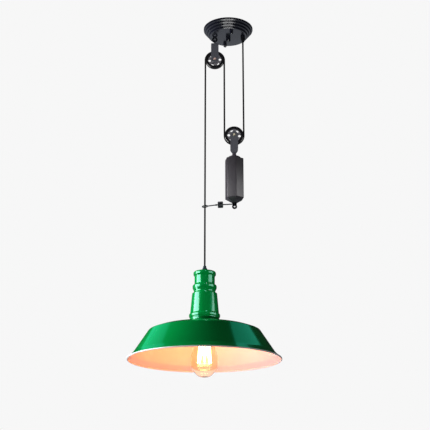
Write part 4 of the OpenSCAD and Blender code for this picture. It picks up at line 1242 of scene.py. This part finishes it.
@dataclass
class Bulb:
    """Cage-filament bulb, lit."""

    wall: float = 0.9
    strands: int = 8
    strand_r: float = 0.9
    cage_top_r: float = 11.0
    cage_r: float = 16.0
    cage_bend: float = 2.2
    glow_r: float = 8.0
    glow_rise: float = 0.3
    light_w: float = 1.5
    light_colour: str = "#FF9040"
    glass: tuple[Corner, ...] = (
        Corner(12.45, -136.0),
        Corner(12.45, -140.0, 4.0),
        Corner(18.0, -161.0, 40.0),
        Corner(32.2, -207.0, 30.0),
        Corner(32.2, -232.0, 16.0),
        Corner(14.5, -250.5, 18.0),
        Corner(0.9, -253.0, 0.9),
        Corner(0.0, -253.0),
    )

    def build_glass(self) -> None:
        """Spin the glass."""
        outer = rounded_line(self.glass, 3.0)
        inner = rounded_line(inner_corners(self.glass[:-1], self.wall), 3.0)
        inner[-1].x = 0.0
        glass = spin("amber_glass", outer + inner[::-1], lamp_axis("bulb_glass"), sides=144)
        stand_in(glass, "bulb", "amber_glass", [AMBER_GLASS], "bulb_glass")

    def build_filament(self) -> None:
        """Lead one wire up and down the cage, over all its supports."""
        low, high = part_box("bulb_filaments")
        axis = lamp_axis("bulb_glass")
        corners: list[Vector] = []
        for i in range(self.strands):
            turn = math.tau * i / self.strands
            aside = Vector((math.cos(turn), math.sin(turn), 0.0))
            corners.append(Vector((axis.x, axis.y, low.z)) + aside * self.cage_r * MM)
            corners.append(Vector((axis.x, axis.y, high.z)) + aside * self.cage_top_r * MM)
        path = eased(corners, self.cage_bend * MM)
        wire = tube("cage_filament", path, self.strand_r * MM, sides=10, closed=True)
        stand_in(wire, "bulb", "filament", [FILAMENT], "bulb_filaments")
        wire.visible_shadow = False

    def light(self) -> None:
        """Put the bulb's light inside its cage."""
        low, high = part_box("bulb_filaments")
        data = bpy.data.lights.new("bulb_glow", "POINT")
        data.energy = self.light_w
        data.color = linear(self.light_colour)[:3]
        data.shadow_soft_size = self.glow_r * MM
        lamp = add_object("bulb_glow", data)
        lamp.location = lamp_axis("bulb_glass")
        lamp.location.z = low.z + self.glow_rise * (high.z - low.z)
        lamp.visible_camera = False
        lamp.visible_glossy = False
        lamp.visible_transmission = False
        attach(lamp, "bulb")

    def dress(self) -> None:
        """Finish the cap, the contact and the stem."""
        dress(CAP_METAL, "bulb_cap")
        dress(VITRITE, "bulb_contact")
        dress(STEM_GLASS, "bulb_stem")
        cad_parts["bulb_stem"].visible_shadow = False


@dataclass(frozen=True)
class SoftBox:
    """Rectangular lamp at a place, with its aim and size in metres, where radiance 1 is white.

    It lights only the named pieces, or all of them if none is named.
    """

    name: str
    place: Triple
    aim: Triple
    size: tuple[float, float]
    radiance: float
    rays: Rays
    only: tuple[str, ...] = ()
    colour: str = "#FFFFFF"

    def hang(self) -> None:
        """Add the lamp to the scene."""
        data = bpy.data.lights.new(self.name, "AREA")
        data.shape = "RECTANGLE"
        data.size, data.size_y = self.size
        data.energy = self.radiance * math.pi * self.size[0] * self.size[1]
        data.color = linear(self.colour)[:3]
        box = add_object(self.name, data)
        box.location = self.place
        way = Vector(self.aim) - Vector(self.place)
        box.rotation_euler = way.to_track_quat("-Z", "Y").to_euler()
        box.visible_camera = False
        box.visible_transmission = False
        box.visible_diffuse = self.rays is Rays.FILL
        box.visible_glossy = self.rays is Rays.GLOSS
        if self.only:
            lit = bpy.data.collections.new(f"{self.name}_lights")
            for piece in self.only:
                lit.objects.link(bpy.data.objects[piece])
            box.light_linking.receiver_collection = lit


@dataclass
class Studio:
    """Camera, plain room, sky and soft lamps."""

    focal_px: float = 973.0
    frame_px: float = 430.0
    sensor_mm: float = 36.0
    tilt_deg: float = 18.06
    camera_at: Triple = (-0.03426, -2.26, -1.2452)
    backdrop: str = "#F7F7F7"
    floor_z: float = -3.0
    floor_half: float = 9.0
    floor_gap: float = 0.01
    fill_low: float = 0.6
    fill_high: float = 0.14
    room_way: Triple = (-0.1, 0.6, -0.8)
    room_from: float = 0.45
    room_to: float = 0.85
    room_dark: float = 0.015
    room_bright: float = 0.42

    def camera(self) -> None:
        """Set the camera at the photograph's angle."""
        data = bpy.data.cameras.new("camera")
        data.sensor_width = self.sensor_mm
        data.lens = self.focal_px / self.frame_px * data.sensor_width
        data.clip_start, data.clip_end = 0.05, 60.0
        camera = add_object("camera", data)
        camera.location = self.camera_at
        camera.rotation_euler = (math.radians(90 + self.tilt_deg), 0.0, 0.0)
        bpy.context.scene.camera = camera

    def floor(self) -> None:
        """Lay a plain pale floor well below the lamp.

        The camera sees a well lit floor. A second one just below it gives the softer bounced light.
        """
        half = self.floor_half
        corners = [(-half, -half), (half, -half), (half, half), (-half, half)]
        paint = Moulded("floor_paint", colour="#E6E6E4", flow="#E2E2E0", roughness=0.9).material()
        low = self.floor_z - self.floor_gap
        for name, z, seen in (("floor", self.floor_z, True), ("floor_bounce", low, False)):
            floor = finish_mesh(name, [(x, y, z) for x, y in corners], [[0, 1, 2, 3]])
            floor.data.materials.append(paint)
            floor.visible_glossy = False
            floor.visible_camera = seen
            floor.visible_transmission = seen
            floor.visible_diffuse = not seen
            floor.visible_shadow = not seen

    def sky(self) -> None:
        """Surround the object with the pale backdrop, and with a graded room for light and gloss."""
        world = bpy.data.worlds.new("studio")
        world.use_nodes = True
        tree = world.node_tree
        tree.nodes.clear()
        way = add_node(tree, "ShaderNodeTexCoord").outputs["Generated"]
        lean = vector_math(tree, "DOT_PRODUCT", way, self.room_way)
        room = map_value(
            tree, lean, self.room_dark, self.room_bright, self.room_from, self.room_to
        )
        height = add_node(tree, "ShaderNodeSeparateXYZ", links={"Vector": way}).outputs["Z"]
        fill = map_value(tree, height, self.fill_low, self.fill_high, -1.0, 0.6)
        path = add_node(tree, "ShaderNodeLightPath").outputs
        soft, gloss = (
            add_node(
                tree, "ShaderNodeBackground", {"Color": linear(colour)}, {"Strength": strength}
            ).outputs["Background"]
            for colour, strength in (("#FFFFFF", fill), ("#E8EEFA", room))
        )
        plain = add_node(tree, "ShaderNodeBackground", {"Color": linear(self.backdrop)})
        seen = add_node(
            tree,
            "ShaderNodeMath",
            {"operation": "MAXIMUM"},
            {0: path["Is Camera Ray"], 1: path["Is Transmission Ray"]},
        ).outputs["Value"]
        lit = add_choice(tree, path["Is Glossy Ray"], soft, gloss)
        sky = add_choice(tree, seen, lit, plain.outputs["Background"])
        add_node(tree, "ShaderNodeOutputWorld", links={"Surface": sky})
        bpy.context.scene.world = world

    def lamps(self) -> None:
        """Hang the soft boxes."""
        fill, gloss = Rays.FILL, Rays.GLOSS
        cup = ("canopy_cup", "canopy_cap_nuts", "centre_cap_nut", "hanging_eye")
        neck = ("ringed_neck",)
        shade = ("spun_shade",)
        enamel = neck + shade
        blocks = ("upper_yoke", "upper_wheel", "lower_yoke", "lower_wheel", "weight_flare_cap")
        painted = blocks + ("hexagonal_weight",)
        metal = (
            "upper_hook",
            "upper_axle",
            "lower_axle",
            "guide_collar",
            "guide_rod",
            "adjuster_barrel",
            "guide_eye_rod",
            "weight_eye",
            "lamp_cord_grip",
        )
        lamp = (-0.06, 0.0, -0.75)
        rim = (0.05, 0.1, -0.8)
        teal = "#4CFFD8"
        boxes = (
            # Light on dull surfaces: an even floor, and a left key with its bounce from below.
            SoftBox(
                "floor_light", (0.0, 0.0, 3.0), (0.0, 0.0, -3.0), (40.0, 40.0), 1.0, fill, ("floor",)
            ),
            SoftBox("key", (-1.2, 0.25, -0.25), lamp, (0.6, 0.7), 12.0, fill),
            SoftBox("bounce", (-0.9, -0.7, -1.6), rim, (0.5, 0.5), 3.0, fill),
            SoftBox(
                "shade_key", (-1.3, 0.1, -0.2), lamp, (0.5, 0.5), 42.0, fill, enamel, "#D8F4FF"
            ),
            SoftBox("front_fill", (0.1, -1.6, -0.7), lamp, (0.6, 0.6), 12.0, fill, neck + blocks),
            SoftBox(
                "shade_bounce", (-1.2, 0.3, -1.4), rim, (0.5, 0.5), 13.0, fill, shade, "#B0D0FF"
            ),
            # Streaks down both sides of the neck and the weight.
            SoftBox(
                "left_strip",
                (-1.0, -0.33, -0.62),
                (-0.06, -0.33, -0.62),
                (1.0, 0.9),
                12.0,
                gloss,
                enamel + painted,
            ),
            SoftBox(
                "right_strip",
                (1.1, -0.6, -0.5),
                (-0.06, -0.6, -0.5),
                (1.24, 0.6),
                5.0,
                gloss,
                neck + painted,
            ),
            # Soft patches on the shade's slope.
            SoftBox(
                "shade_card", (0.76, 0.2, 0.2), (0.03, -0.12, -0.83), (0.8, 0.6), 1.0, gloss, shade, teal
            ),
            SoftBox(
                "shade_left_card",
                (-0.85, 0.56, 0.05),
                (-0.15, -0.1, -0.83),
                (0.9, 0.6),
                0.9,
                gloss,
                shade,
                teal,
            ),
            # Arcs on the canopy, dots on the neck's rings, and a sheen on the bare metal.
            SoftBox("low_card", (-0.03, -0.57, -1.06), (0.0, 0.0, 0.0), (0.8, 0.9), 7.0, gloss, cup),
            SoftBox(
                "front_dot", (0.22, -1.2, 0.73), (-0.06, 0.0, -0.7), (0.3, 0.3), 60.0, gloss, neck
            ),
            SoftBox(
                "metal_card", (-0.1, -1.7, 0.45), (0.0, 0.0, -0.3), (0.9, 1.2), 1.2, gloss, metal
            ),
        )
        for box in boxes:
            box.hang()

    def build(self) -> None:
        """Build camera, floor, sky and lamps."""
        self.camera()
        self.floor()
        self.sky()
        self.lamps()
        bpy.context.scene.view_settings.view_transform = "Standard"


def main() -> None:
    """Dress the pendant, and build the studio round it."""
    logging.basicConfig(level=logging.INFO, format="%(name)s: %(message)s")
    canopy = Canopy()
    canopy.build()
    canopy.dress()

    SheaveBlocks().dress()

    weight = Counterweight()
    weight.build_body()
    weight.build_cap()
    weight.dress()

    GuideArm().dress()

    flex = Flex()
    flex.build()
    flex.dress()

    head = LampHead()
    head.build_neck()
    head.build_shade()
    head.dress()

    bulb = Bulb()
    bulb.build_glass()
    bulb.build_filament()
    bulb.dress()
    bulb.light()

    Studio().build()


if __name__ == "__main__":
    main()
